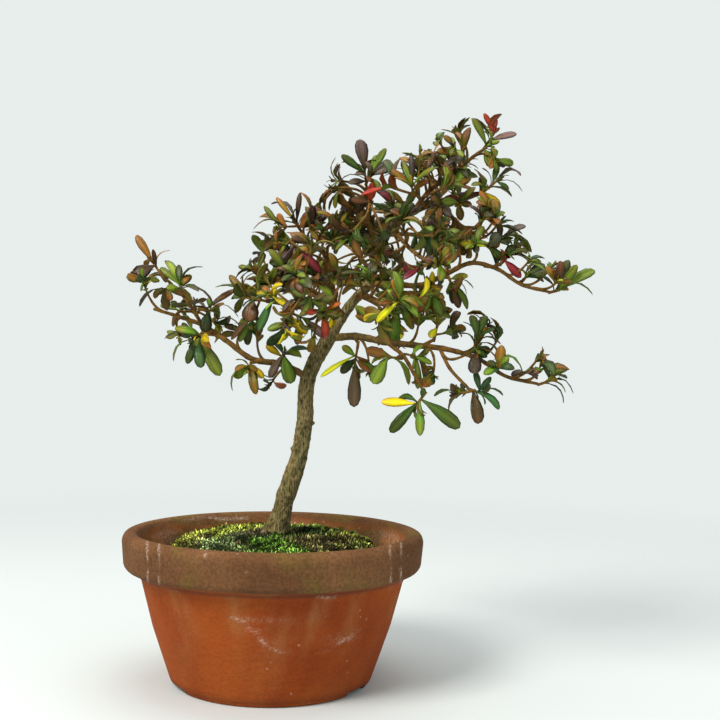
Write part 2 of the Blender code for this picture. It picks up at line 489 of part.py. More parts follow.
class Crown:
    """Where every limb, twig and blade goes. Each new piece is bent clear of what is there already."""

    def __init__(self):
        self.limb_tubes = limb_tubes()
        self.limbs = {name: filled(tube.rows, LIMB_ROW) for name, tube in self.limb_tubes.items()}
        self.stub_tubes = []
        self.twig_tubes = []
        self.stubs = []
        self.twigs = []
        self.blades = []
        self.taken_ends = set()
        self.samples = np.empty((0, 3))
        self.sample_nodes = np.empty(0, int)
        self.sample_outer = np.empty(0, bool)
        self.nodes = list(SPRAYS)
        self.hubs = {}
        for name in self.nodes:
            self.add_twigs(name)
        self.stretches = self.wood_stretches()
        self.centres = np.array([line[:, :3].mean(0) for _, line in self.stretches])
        self.add_told_blades()
        self.add_more_blades()

    def wood_lines(self, name, limb):
        """The lines that a twig of this spray keeps clear of."""
        lines = [line for other, line in self.limbs.items() if other != limb]
        lines += [line for owner, line in self.stubs if owner != name]
        return lines + [line for owner, line in self.twigs if owner != name]

    def clearance(self, line, others):
        """The least room between a line's wood and that of the others."""
        thickest = line[:, 3].max()
        return min((distances(line[:, :3], other) - other[:, 3].max() - thickest).min() for other in others)

    def best_of(self, trials):
        """The first trial twig with room enough, or else the one with the most. A trial is (room, result)."""
        best = None
        for room, result in trials:
            if best is None or room > best[0] + 0.01:
                best = (room, result)
            if room > ROOM_WANTED:
                break
        return best[1]

    def end_twigs(self, line, along, hub, others):
        """Trial twigs that go on from the free end of a limb."""
        for bend in TWIG_BENDS:
            middle = bent_line(line[-1, :3], along, hub, np.array(bend))
            twig = seated(thinned(tapered(middle, line[-1, 3], TWIG_RADIUS), TWIG_STEP), along)
            rows = filled(twig, TWIG_ROW)
            own_room = self.clearance(rows[5:], [line[:-3]]) + 1.0
            yield min(self.clearance(rows, others), own_room), (None, twig)

    def side_twigs(self, line, row, along, hub, others):
        """Trial twigs that leave a limb at its side, each with the stub of it that the limb bears."""
        reach = line[row, 3] + STUB_RADIUS + STUB_REACH
        for bend in TWIG_BENDS:
            whole = tapered(bent_line(line[row, :3], along, hub, np.array(bend)), STUB_RADIUS, TWIG_RADIUS)
            inside = np.flatnonzero(distances(whole[:, :3], line) < reach)
            end = min(max(inside[-1] + 1, 2), len(whole) - SHORTEST_TWIG_ROWS)
            stub = thinned(whole[: end + 1], STUB_STEP)
            twig = seated(thinned(whole[end:], TWIG_STEP), unit(stub[-1, :3] - stub[-2, :3]))
            room = self.clearance(filled(twig, TWIG_ROW), [*others, line])
            yield min(room, self.clearance(filled(stub, TWIG_ROW), others)), (stub, twig)

    def inner_twigs(self, twig_line, row, hub, others):
        """Trial twigs that leave a spray's main twig for a further rosette."""
        along = unit(twig_line[row + 1, :3] - twig_line[row, :3])
        for bend in TWIG_BENDS:
            middle = bent_line(twig_line[row, :3], along, hub, np.array(bend))
            twig = thinned(tapered(middle, SIDE_TWIG_RADIUS, SIDE_TWIG_RADIUS), TWIG_STEP)
            yield self.clearance(filled(twig, TWIG_ROW)[2:], others), twig

    def foot(self, limb, hub):
        """The row of the limb at which a twig for this hub leaves, and whether it is the limb's free end."""
        line = self.limbs[limb]
        nearest = int(np.linalg.norm(line[:, :3] - hub, axis=1).argmin())
        if nearest >= len(line) - 4 and limb not in self.taken_ends:
            self.taken_ends.add(limb)
            return len(line) - 1, True
        away = np.linalg.norm(line[nearest, :3] - hub)
        row = np.clip(nearest - max(4, 0.5 * away), FIRST_LIMB_ROW, len(line) - LAST_LIMB_ROWS)
        return int(row), False

    def add_twigs(self, name):
        """A spray's main twig, with its stub on the limb, and a side twig for each further rosette."""
        limb, rosettes = SPRAYS[name]
        line = self.limbs[limb]
        hub, *further = [seen(*rosette.hub) for rosette in rosettes]
        row, at_end = self.foot(limb, hub)
        along = unit(line[row, :3] - line[row - 3, :3])
        others = self.wood_lines(name, limb)
        if at_end:
            stub, twig = self.best_of(self.end_twigs(line, along, hub, others))
        else:
            stub, twig = self.best_of(self.side_twigs(line, row, along, hub, others))
            self.stub_tubes.append(Tube(name, stub, TWIG_SIDES))
            self.stubs.append((name, filled(stub, TWIG_ROW)))
            others = [*others, self.stubs[-1][1]]
        twig_line = self.keep_twig(name, twig)
        for hub in further:
            nearest = int(np.linalg.norm(twig_line[:, :3] - hub, axis=1).argmin())
            row = min(max(nearest - SIDE_TWIG_ROWS, FIRST_SIDE_ROW), len(twig_line) - 2)
            side = self.best_of(self.inner_twigs(twig_line, row, hub, [*others, line]))
            self.keep_twig(name, side)

    def keep_twig(self, name, twig):
        """Keeps a twig, with its end, the way that points, and how far back along it leaves may be rooted."""
        line = filled(twig, TWIG_ROW)
        self.twig_tubes.append(Tube(name, twig, TWIG_SIDES))
        self.twigs.append((name, line))
        rooted = min(BUD_LENGTH, len(line) * TWIG_ROW - 2.0)
        self.hubs.setdefault(name, []).append((twig[-1, :3], unit(twig[-1, :3] - twig[-2, :3]), rooted))
        return line

    def wood_stretches(self):
        """All wood in short stretches, each with the spray that it belongs to. Limbs and stubs belong to none."""
        owned = [("", line) for line in self.limbs.values()]
        owned += [("", line) for _, line in self.stubs] + self.twigs
        return [(owner, line[k:k + STRETCH_ROWS + 1])
                for owner, line in owned for k in range(0, len(line) - 1, STRETCH_ROWS)]

    def wood_near(self, middle):
        """Each stretch of wood that comes within reach of a blade about this place."""
        near = np.linalg.norm(self.centres - middle, axis=1) < WOOD_REACH
        return [self.stretches[k] for k in np.flatnonzero(near)]

    def blade_samples(self, blade):
        """Points spread over a blade, and which of them are in its outer part."""
        t = np.repeat(SAMPLE_PLACES, len(SAMPLE_SIDES))
        across = np.tile(SAMPLE_SIDES, len(SAMPLE_PLACES)) * np.interp(t, (0, 0.5, 0.85, 1), (0.2, 0.9, 0.95, 0.4))
        side = unit(np.cross(blade.tip - blade.root, blade.normal))
        points = blade_middle(blade, t) + across[:, None] * blade.width * side
        return points, t > OUTER_FROM

    def clear_of_blades(self, points, outer, index):
        """True where a new blade keeps off the blades of other sprays and the outer parts of its own."""
        near = np.abs(self.samples - points.mean(0)).max(1) < BLADE_REACH
        if not near.any():
            return True
        own = self.sample_nodes[near] == index
        away = np.linalg.norm(points[:, None] - self.samples[near][None], axis=2)
        if (away[:, ~own] < CLEAR_OF_BLADES).any():
            return False
        return not (away[np.ix_(outer, own & self.sample_outer[near])] < CLEAR_IN_SPRAY).any()

    def clear_of_wood(self, points, outer, index):
        """True where a new blade keeps off all wood, but for the foot that is sunk in its own twig."""
        for owner, line in self.wood_near(points.mean(0)):
            own = owner == self.nodes[index]
            room = distances(points[outer] if own else points, line) - line[:, 3].max()
            if (room < (CLEAR_OF_OWN_TWIG if own else CLEAR_OF_WOOD)).any():
                return False
        return True

    def kept(self, blade, index):
        """Keeps a blade if it is clear of everything, and says whether it did."""
        points, outer = self.blade_samples(blade)
        if not (self.clear_of_blades(points, outer, index) and self.clear_of_wood(points, outer, index)):
            return False
        self.blades.append(blade)
        self.samples = np.vstack([self.samples, points])
        self.sample_nodes = np.concatenate([self.sample_nodes, np.full(len(points), index)])
        self.sample_outer = np.concatenate([self.sample_outer, outer])
        return True

    def add_told_blades(self):
        """The leaves that can be told apart in the view. One that would cross another is bent forward or back."""
        for index, name in enumerate(self.nodes):
            for (end, axis, rooted), rosette in zip(self.hubs[name], SPRAYS[name][1]):
                for k, (across, down, back, width, kind) in enumerate(rosette.leaves):
                    root = end - axis * rooted * k / max(LEAVES_TO_A_BUD, len(rosette.leaves))
                    for shift in DEPTH_SHIFTS:
                        tip = seen(across, down, rosette.hub[2] + back + shift)
                        if self.kept(told_blade(name, root, tip, width, kind), index):
                            break

    def add_more_blades(self):
        """The other leaves of each rosette, turned round its shoot by the golden angle."""
        draw = np.random.default_rng(MORE_SEED)
        for index, name in enumerate(self.nodes):
            for (end, axis, rooted), rosette in zip(self.hubs[name], SPRAYS[name][1]):
                turn = draw.uniform(0, 2 * math.pi)
                for k in range(rosette.more):
                    root = end - axis * rooted * (k + 0.5) / max(LEAVES_TO_A_BUD, rosette.more)
                    for _ in range(MORE_TRIES):
                        turn += GOLDEN_ANGLE + draw.uniform(-0.4, 0.4)
                        if self.kept(free_blade(draw, name, root, axis, turn, rosette.palette), index):
                            break


def square_to(direction, wanted):
    """The unit vector nearest to the wanted one that is square to a direction."""
    direction = unit(direction)
    flat = wanted - direction * wanted.dot(direction)
    if np.linalg.norm(flat) > 0.05:
        return unit(flat)
    return square_to(direction, wanted + np.array([0.3, -0.8, 0.4]))


def blade_middle(blade, t):
    """Points of a blade's arched rib, from its root at 0 to its tip at 1."""
    t = np.asarray(t, float)[:, None]
    length = np.linalg.norm(blade.tip - blade.root)
    return blade.root + (blade.tip - blade.root) * t + blade.normal * blade.arch * length * 4 * t * (1 - t)


def told_blade(node, root, tip, view_width, kind):
    """A leaf that the front view shows, turned to the front, on its edge, or between the two."""
    pose, colour = kind
    turn, arch = TOLD_POSES[pose]
    turn = math.radians(turn)
    normal = square_to(tip - root, np.array([0, -math.sin(turn), math.cos(turn) + 0.15]))
    width = view_width * (tip[1] + EYE_DISTANCE) / VIEW_FOCAL
    if pose != "B":
        width = max(width, LEAST_TURNED_WIDTH)
    return Blade(node, root, tip, normal, width, arch, colour, "broad" if view_width >= BROAD_FROM else "plain")


def free_blade(draw, node, root, axis, turn, palette):
    """A leaf that leans out from its shoot, its upper face towards the shoot's tip."""
    aside = unit(np.cross(axis, [0.2, 0.1, 1.0]))
    other = np.cross(axis, aside)
    lean = math.radians(draw.uniform(*MORE_LEAN))
    out = aside * math.cos(turn) + other * math.sin(turn)
    way = unit(axis * math.cos(lean) + out * math.sin(lean) + np.array([0, 0, draw.uniform(-0.1, 0.25)]))
    tip = root + way * draw.uniform(*MORE_LENGTH)
    normal = square_to(way, axis + np.array([0, 0, 0.35]))
    colour = palette[int(draw.integers(len(palette)))]
    return Blade(node, root, tip, normal, draw.uniform(*MORE_WIDTH), draw.uniform(*MORE_ARCH), colour, "small")


def new_collection(name):
    """A collection linked to the scene."""
    made = bpy.data.collections.new(name)
    bpy.context.scene.collection.children.link(made)
    return made


def mesh_object(name, mesh, collection):
    """An object that holds this mesh."""
    made = bpy.data.objects.new(name, mesh)
    collection.objects.link(made)
    return made


def tube_mesh(line, sides):
    """A closed tube round a line whose rows carry the radius."""
    curve = bpy.data.curves.new("tube", "CURVE")
    curve.dimensions = "3D"
    curve.bevel_depth = MM
    curve.bevel_resolution = (sides - 4) // 2
    curve.use_fill_caps = True
    spline = curve.splines.new("POLY")
    spline.points.add(len(line) - 1)
    for point, row in zip(spline.points, line):
        point.co = (*(row[:3] * MM), 1)
        point.radius = row[3]
    holder = bpy.data.objects.new("tube", curve)
    bpy.context.scene.collection.objects.link(holder)
    graph = bpy.context.evaluated_depsgraph_get()
    mesh = bpy.data.meshes.new_from_object(holder.evaluated_get(graph))
    bpy.data.objects.remove(holder)
    bpy.data.curves.remove(curve)
    made = bmesh.new()
    made.from_mesh(mesh)
    bmesh.ops.remove_doubles(made, verts=made.verts, dist=1e-6)
    bmesh.ops.recalc_face_normals(made, faces=made.faces)
    made.to_mesh(mesh)
    made.free()
    return mesh


def blade_mesh(blade):
    """A leaf blade: a loft of flat sections with a rib below, narrow at the root and widest past the middle."""
    shape = OUTLINES[blade.outline]
    places = np.array([place for place, _ in shape])
    widths = np.array([share * blade.width for _, share in shape])
    widths[0] = BLADE_ROOT_WIDTH
    middles = blade_middle(blade, places)
    side = unit(np.cross(blade.tip - blade.root, blade.normal))
    slopes = np.gradient(middles, axis=0)
    made = bmesh.new()
    rings = []
    for middle, width, slope in zip(middles, widths, slopes):
        rib = unit(np.cross(slope, side)) * BLADE_THICKNESS
        corners = (middle - side * width / 2, middle + side * width / 2, middle + rib)
        rings.append([made.verts.new(Vector(corner * MM)) for corner in corners])
    tip = made.verts.new(Vector(blade_middle(blade, [1.0])[0] * MM))
    for ring, following in zip(rings, rings[1:]):
        for k in range(3):
            made.faces.new((ring[k], ring[k - 2], following[k - 2], following[k]))
    for k in range(3):
        made.faces.new((rings[-1][k], rings[-1][k - 2], tip))
    made.faces.new(rings[0][::-1])
    bmesh.ops.recalc_face_normals(made, faces=made.faces)
    mesh = bpy.data.meshes.new("blade")
    made.to_mesh(mesh)
    made.free()
    return mesh


def fused(name, meshes, collection):
    """One solid of many that overlap."""
    helpers = new_collection("pieces of " + name)
    whole = mesh_object(name, meshes[0], collection)
    for mesh in meshes[1:]:
        mesh_object("piece", mesh, helpers)
    union = whole.modifiers.new("union", "BOOLEAN")
    union.operation = "UNION"
    union.operand_type = "COLLECTION"
    union.collection = helpers
    union.solver = "MANIFOLD"
    graph = bpy.context.evaluated_depsgraph_get()
    joined = bpy.data.meshes.new_from_object(whole.evaluated_get(graph))
    joined.name = name
    whole.modifiers.clear()
    whole.data = joined
    for helper in list(helpers.objects):
        bpy.data.objects.remove(helper)
    bpy.data.collections.remove(helpers)
    return whole


def coloured(piece, name, colour, roughness):
    """The piece, with a material of its own."""
    material = bpy.data.materials.new(name)
    material.use_nodes = True
    shader = material.node_tree.nodes["Principled BSDF"]
    shader.inputs["Base Color"].default_value = (*colour, 1)
    shader.inputs["Roughness"].default_value = roughness
    shader.inputs["Metallic"].default_value = 0
    piece.data.materials.clear()
    piece.data.materials.append(material)
    return piece


def turned(name, profile, sides, collection):
    """A profile of (radius, height) turned round the vertical axis, listed down its outer side."""
    mesh = bpy.data.meshes.new(name)
    rows = [(radius * MM, 0, height * MM) for radius, height in profile]
    closed = profile[0][0] > 0 and profile[-1][0] > 0
    edges = [(k, k + 1) for k in range(len(rows) - 1)] + ([(len(rows) - 1, 0)] if closed else [])
    mesh.from_pydata(rows, edges, [])
    piece = mesh_object(name, mesh, collection)
    screw = piece.modifiers.new("turn", "SCREW")
    screw.steps = sides
    screw.render_steps = sides
    screw.use_merge_vertices = True
    screw.merge_threshold = 1e-5
    screw.use_smooth_shade = True
    return piece


def cutter_box(name, size, location, angle, collection):
    """A box that cuts, turned about the vertical axis."""
    bpy.ops.mesh.primitive_cube_add(size=1, location=location, rotation=(0, 0, angle))
    box = bpy.context.object
    box.scale = size
    return as_cutter(box, name, collection)


def cutter_cylinder(name, radius, depth, location, sides, collection):
    """An upright cylinder that cuts."""
    bpy.ops.mesh.primitive_cylinder_add(vertices=sides, radius=radius, depth=depth, location=location)
    return as_cutter(bpy.context.object, name, collection)


def moved(piece, name, collection):
    """The piece, named and held in this collection alone."""
    piece.name = name
    for holder in piece.users_collection:
        holder.objects.unlink(piece)
    collection.objects.link(piece)
    return piece


def as_cutter(piece, name, collection):
    """The piece, out of renders and drawn as wire."""
    moved(piece, name, collection)
    piece.hide_render = True
    piece.display_type = "WIRE"
    return piece


def cut(piece, cutter):
    """Takes the cutter's shape out of the piece."""
    boolean = piece.modifiers.new("cut " + cutter.name, "BOOLEAN")
    boolean.operation = "DIFFERENCE"
    boolean.object = cutter


def make_pot(parts, cutters):
    """The pot: a thick band round the rim, a tapering body, and three drain channels that end at drain holes."""
    pot = turned("pot", POT_INNER + POT_OUTER, POT_SIDES, parts)
    length = FOOT_RADIUS + 6 - DRAIN_DISTANCE
    for angle in DRAIN_ANGLES:
        turn = math.radians(angle)
        way = Vector((math.cos(turn), math.sin(turn), 0))
        hole_place = way * DRAIN_DISTANCE * MM
        size = (length * MM, CHANNEL_WIDTH * MM, 2 * CHANNEL_HEIGHT * MM)
        cut(pot, cutter_box(f"channel_{angle}", size, hole_place + way * length / 2 * MM, turn, cutters))
        cut(pot, cutter_cylinder(f"drain_{angle}", DRAIN_RADIUS * MM, 3 * FLOOR_THICKNESS * MM, hole_place,
                                 DRAIN_SIDES, cutters))
        cut(pot, cutter_cylinder(f"channel_end_{angle}", CHANNEL_WIDTH / 2 * MM, 2 * CHANNEL_HEIGHT * MM,
                                 hole_place, CHANNEL_SIDES, cutters))
    return coloured(pot, "terracotta", (0.50, 0.16, 0.07), 0.85)


def make_nets(parts, cutters):
    """A small square net of plastic over each drain hole."""
    for number, angle in enumerate(DRAIN_ANGLES, 1):
        turn = math.radians(angle)
        middle = Vector((math.cos(turn), math.sin(turn), 0)) * DRAIN_DISTANCE
        middle.z = FLOOR_THICKNESS + GAP + NET_THICKNESS / 2
        bpy.ops.mesh.primitive_cube_add(size=1, location=middle * MM)
        net = moved(bpy.context.object, f"drain_net_{number}", parts)
        net.scale = (NET_SIZE * MM, NET_SIZE * MM, NET_THICKNESS * MM)
        for row, column in ((-0.5, -0.5), (-0.5, 0.5), (0.5, -0.5), (0.5, 0.5)):
            place = middle + Vector((row, column, 0)) * NET_PITCH
            size = (NET_HOLE * MM, NET_HOLE * MM, 3 * NET_THICKNESS * MM)
            cut(net, cutter_box(f"net_hole_{number}_{row}_{column}", size, place * MM, 0, cutters))
        coloured(net, f"net_{number}", (0.03, 0.03, 0.03), 0.6)


def inner_radius(height):
    """The radius of the pot's inside at a height above its floor's edge."""
    radii, heights = zip(*POT_INNER[2:5])
    return float(np.interp(height, heights, radii))


def make_soil(parts, cutters, foot):
    """The soil that fills the pot, mounded towards the trunk, over the nets on the floor."""
    base = FLOOR_THICKNESS + 2 * GAP + NET_THICKNESS
    foot_radius, wall_foot = SOIL_FOOT
    wall_heights = (SOIL_EDGE_HEIGHT, POT_INNER[3][1], wall_foot)
    wall = tuple((inner_radius(height) - SOIL_WALL_GAP, height) for height in wall_heights)
    soil = turned("soil", SOIL_TOP + wall + ((foot_radius, base), (0.0, base)), SOIL_SIDES, parts)
    hole_floor = foot[2] - TRUNK_SUNK - GAP
    half = TRUNK_SUNK + 12
    place = Vector((foot[0], foot[1], hole_floor + half)) * MM
    cut(soil, cutter_cylinder("soil_hole", TRUNK_HOLE_RADIUS * MM, 2 * half * MM, place, TRUNK_HOLE_SIDES, cutters))
    return coloured(soil, "soil", (0.05, 0.035, 0.02), 0.95)


def waved(mesh):
    """Raises and lowers the moss's upper side a little, in long and in short waves."""
    places = np.empty(len(mesh.vertices) * 3)
    mesh.vertices.foreach_get("co", places)
    places = places.reshape(-1, 3)
    x, y = places[:, 0] / MM, places[:, 1] / MM
    radius = np.hypot(x, y)
    top = places[:, 2] / MM > np.interp(radius, *zip(*MOSS_TOP)) - 1.0
    wave = np.sin(x * 0.16 + 1.3) * np.cos(y * 0.19 + 0.4) + 0.6 * np.sin(x * 0.31 - y * 0.27)
    places[:, 2] += np.where(top & (radius > MOSS_STILL_RADIUS), MOSS_WAVE * wave * MM, 0)
    mesh.vertices.foreach_set("co", places.ravel())
    mesh.update()


def make_moss(parts, cutters, foot):
    """A low mat of moss on the soil, its top gently waved, with a plain hole for the trunk."""
    under = tuple((radius, float(np.interp(radius, *zip(*SOIL_TOP))) + GAP) for radius in MOSS_UNDER_RADII)
    moss = turned("moss", MOSS_TOP + (MOSS_EDGE,) + under, MOSS_SIDES, parts)
    mesh = bpy.data.meshes.new_from_object(moss.evaluated_get(bpy.context.evaluated_depsgraph_get()))
    moss.modifiers.clear()
    moss.data = mesh
    waved(mesh)
    place = Vector((foot[0], foot[1], POT_HEIGHT)) * MM
    cut(moss, cutter_cylinder("moss_hole", TRUNK_HOLE_RADIUS * MM, 60 * MM, place, TRUNK_HOLE_SIDES, cutters))
    return coloured(moss, "moss", (0.10, 0.17, 0.02), 0.95)


def make_wood(crown, parts):
    """The trunk, its limbs and the stubs that bear the sprays, grown as one piece."""
    tubes = [*crown.limb_tubes.values(), *crown.stub_tubes]
    meshes = [tube_mesh(tube.rows, tube.sides) for tube in tubes]
    wood = fused("trunk_and_branches", meshes, parts)
    return coloured(wood, "bark", (0.13, 0.09, 0.05), 0.9)


def make_spray(crown, name, parts):
    """A leafy twig: its stems and every blade on them, as one solid."""
    meshes = [tube_mesh(tube.rows, tube.sides) for tube in crown.twig_tubes if tube.node == name]
    blades = [blade for blade in crown.blades if blade.node == name]
    meshes += [blade_mesh(blade) for blade in blades]
    colour = np.mean([COLOURS[blade.colour] for blade in blades], axis=0)
    return coloured(fused(name, meshes, parts), name, tuple(colour), 0.45)


def main():
    """Clears the scene and makes the plant in its pot."""
    for leftover in list(bpy.data.objects):
        bpy.data.objects.remove(leftover)
    parts = new_collection("satsuki_azalea_bonsai")
    cutters = new_collection("cutters")
    crown = Crown()
    foot = crown.limbs["trunk"][0, :3] + (0, 0, TRUNK_SUNK)
    make_pot(parts, cutters)
    make_nets(parts, cutters)
    make_soil(parts, cutters, foot)
    make_moss(parts, cutters, foot)
    make_wood(crown, parts)
    for name in SPRAYS:
        make_spray(crown, name, parts)


if __name__ == "__main__":
    main()
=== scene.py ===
"""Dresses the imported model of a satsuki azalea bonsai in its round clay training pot.

Lengths in this file are millimetres, turned into metres where a mesh is made. +Z is up, +X is to the right
as the tree's front is seen, and the origin is the centre of the pot's underside.
"""

import sys

import logging
import math
from collections.abc import Iterator, Sequence
from dataclasses import dataclass, field
from enum import Enum
from typing import NamedTuple

import bpy
import numpy as np
from mathutils import Matrix, Vector


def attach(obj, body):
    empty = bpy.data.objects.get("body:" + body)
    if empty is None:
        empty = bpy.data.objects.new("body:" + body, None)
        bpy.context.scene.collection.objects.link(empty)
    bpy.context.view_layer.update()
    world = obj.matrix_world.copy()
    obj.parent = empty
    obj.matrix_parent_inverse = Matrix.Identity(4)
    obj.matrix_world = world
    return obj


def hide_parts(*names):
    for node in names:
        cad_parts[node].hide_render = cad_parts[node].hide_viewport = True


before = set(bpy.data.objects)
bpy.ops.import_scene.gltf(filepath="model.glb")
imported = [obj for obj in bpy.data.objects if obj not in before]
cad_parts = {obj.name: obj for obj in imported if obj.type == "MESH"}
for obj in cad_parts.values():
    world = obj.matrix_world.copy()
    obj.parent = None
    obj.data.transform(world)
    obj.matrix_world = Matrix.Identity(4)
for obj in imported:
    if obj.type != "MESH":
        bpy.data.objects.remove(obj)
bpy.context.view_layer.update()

log = logging.getLogger("bonsai")
Array = np.ndarray
Colour = tuple[float, float, float]
Material, NodeTree, Socket = bpy.types.Material, bpy.types.NodeTree, bpy.types.NodeSocket
MM = 0.001
GAP = 0.3
GOLDEN_ANGLE = math.radians(137.5)


def numbers(words: Sequence[str]) -> tuple[float, ...]:
    """The numbers that these words are."""
    return tuple(float(word) for word in words)


class Rosette(NamedTuple):
    """A rosette of leaves: hub, letters of its other leaves' colours, how many of them, and the told leaves."""

    hub: tuple[float, ...]
    palette: str
    more: int
    leaves: tuple

    @staticmethod
    def read(text: str) -> "Rosette":
        """Reads a rosette: hub, letters and number of its other leaves, and behind a colon the told leaves."""
        first, _, told = text.partition(":")
        *hub, palette, more = first.split()
        leaves = [row.split() for row in told.split(",") if told]
        return Rosette(numbers(hub), palette, int(more), tuple((*numbers(leaf[:4]), leaf[4]) for leaf in leaves))


class Outline(Enum):
    """How broad a leaf is: the powers a and b of its outline, and the share of its width that it gets."""

    SMALL = (1.3, 0.7, 0.93)
    PLAIN = (1.25, 0.62, 1.0)
    BROAD = (1.2, 0.5, 1.08)


class Blade(NamedTuple):
    """A leaf: whose it is, its two ends, the way its upper face looks, its width, arch, colour and outline."""

    node: str
    root: Array
    tip: Array
    normal: Array
    width: float
    arch: float
    colour: str
    outline: Outline


# Each limb's route: across, down, depth and radius of each of its points
LIMBS = {
    "trunk": """277 536 0 7.4, 277.5 529 0 7, 281.5 513 -1 5.9, 288.5 488 -2 5.5, 295.5 468 -2 5.2, 300.5 449 -1 4.8,
        304.5 424 1 5, 305.5 398 2 4.7, 307 382 2 4.7, 313 366 1 4.5, 321 350 0 4.6, 331 336 0 3.9""",
    "leader": """321 350 0 4.2, 329 338 0 4, 338 323 -2 3.5, 349 307 -3 3.2, 359 294 0 3.1, 370 282 4 3.1,
        375 262 8 3, 384 238 10 3.1, 400 220 8 3, 421 207 4 2.7, 446 200 0 2.2, 463 199 -4 1.7""",
    "second_stem": """327 341 0 2.4, 334 322 6 2.4, 333 298 12 2.3, 330 274 14 2, 326 256 14 1.7, 314 243 12 1.4,
        301 236 9 1.2""",
    "top_shoot": "412 212 5 1.6, 428 192 0 1.6, 449 176 -6 1.5, 465 163 -9 1.3, 478 153 -10 1.1",
    "middle_stem": "378 256 9 1.6, 371 236 2 1.5, 368 214 -4 1.3, 367 192 -9 1.1",
    "long_right": """368 284 3 2, 390 284 0 2, 411 286 -5 1.9, 430 283 -10 1.8, 446 274 -14 1.7, 461 267 -17 1.6,
        476 262 -19 1.5, 490 264 -20 1.4, 505 275 -22 1.3, 520 284 -23 1.2, 536 290 -24 1.1, 549 292 -24 1""",
    "upper_right": "440 202 1 1.5, 452 217 -8 1.4, 463 227 -13 1.3, 478 239 -17 1.2",
    "low_right": """331 338 0 2.5, 346 333 -5 2.4, 362 338 -9 2.3, 385 342 -12 2.2, 414 345 -16 2, 442 349 -20 1.8,
        465 352 -24 1.6, 480 360 -27 1.4, 492 370 -29 1.3, 508 377 -31 1.2, 524 381 -33 1.1, 538 384 -34 1""",
    "droop": "388 343 -13 1.5, 399 350 -19 1.4, 406 361 -26 1.3, 413 372 -33 1.2, 421 382 -38 1.1, 424 392 -41 1",
    "droop_tip": "440 349 -20 1.3, 447 362 -26 1.2, 455 377 -30 1.1, 468 388 -32 1",
    "low_left": """309 378 2 2.3, 287 366 -4 2.1, 263 360 -9 2, 247 358 -11 1.9, 235 348 -12 1.8, 222 337 -11 1.7,
        208 328 -8 1.6, 195 322 -4 1.4, 180 317 1 1.3, 167 312 5 1.2, 154 309 8 1.1""",
    "left_tip": "203 326 -7 1.3, 196 313 -11 1.2, 189 303 -14 1.2, 181 294 -17 1.1, 170 283 -19 1, 161 274 -20 0.9",
    "left_middle": "334 315 8 1.6, 318 312 0 1.5, 301 308 -10 1.4, 284 304 -18 1.3, 266 301 -22 1.1",
    "left_high": "331 285 13 1.5, 314 283 16 1.4, 296 281 16 1.3, 278 279 12 1.1",
    "front_left": "344 315 -3 1.7, 332 304 -22 1.6, 318 294 -42 1.4, 303 284 -60 1.1",
    "front_middle": "356 298 -1 1.7, 364 296 -24 1.6, 378 303 -46 1.4, 392 306 -64 1.1",
    "front_right": "392 228 9 1.6, 402 240 -14 1.5, 414 252 -38 1.4, 428 262 -58 1.1",
    "front_top": "424 206 4 1.5, 421 200 -18 1.4, 418 196 -38 1.1",
    "back_left": "334 305 10 1.7, 320 298 34 1.6, 303 291 56 1.4, 288 284 74 1.1",
    "back_middle": "372 276 5 1.7, 364 262 30 1.6, 354 251 56 1.4, 345 244 80 1.1",
    "back_right": "386 235 10 1.7, 404 234 36 1.6, 424 236 60 1.4, 444 238 82 1.1",
    "back_low": "360 292 0 1.7, 380 302 26 1.6, 402 312 50 1.4, 424 319 70 1.1",
    "back_top": "432 203 3 1.5, 440 196 24 1.4, 449 188 46 1.1",
}

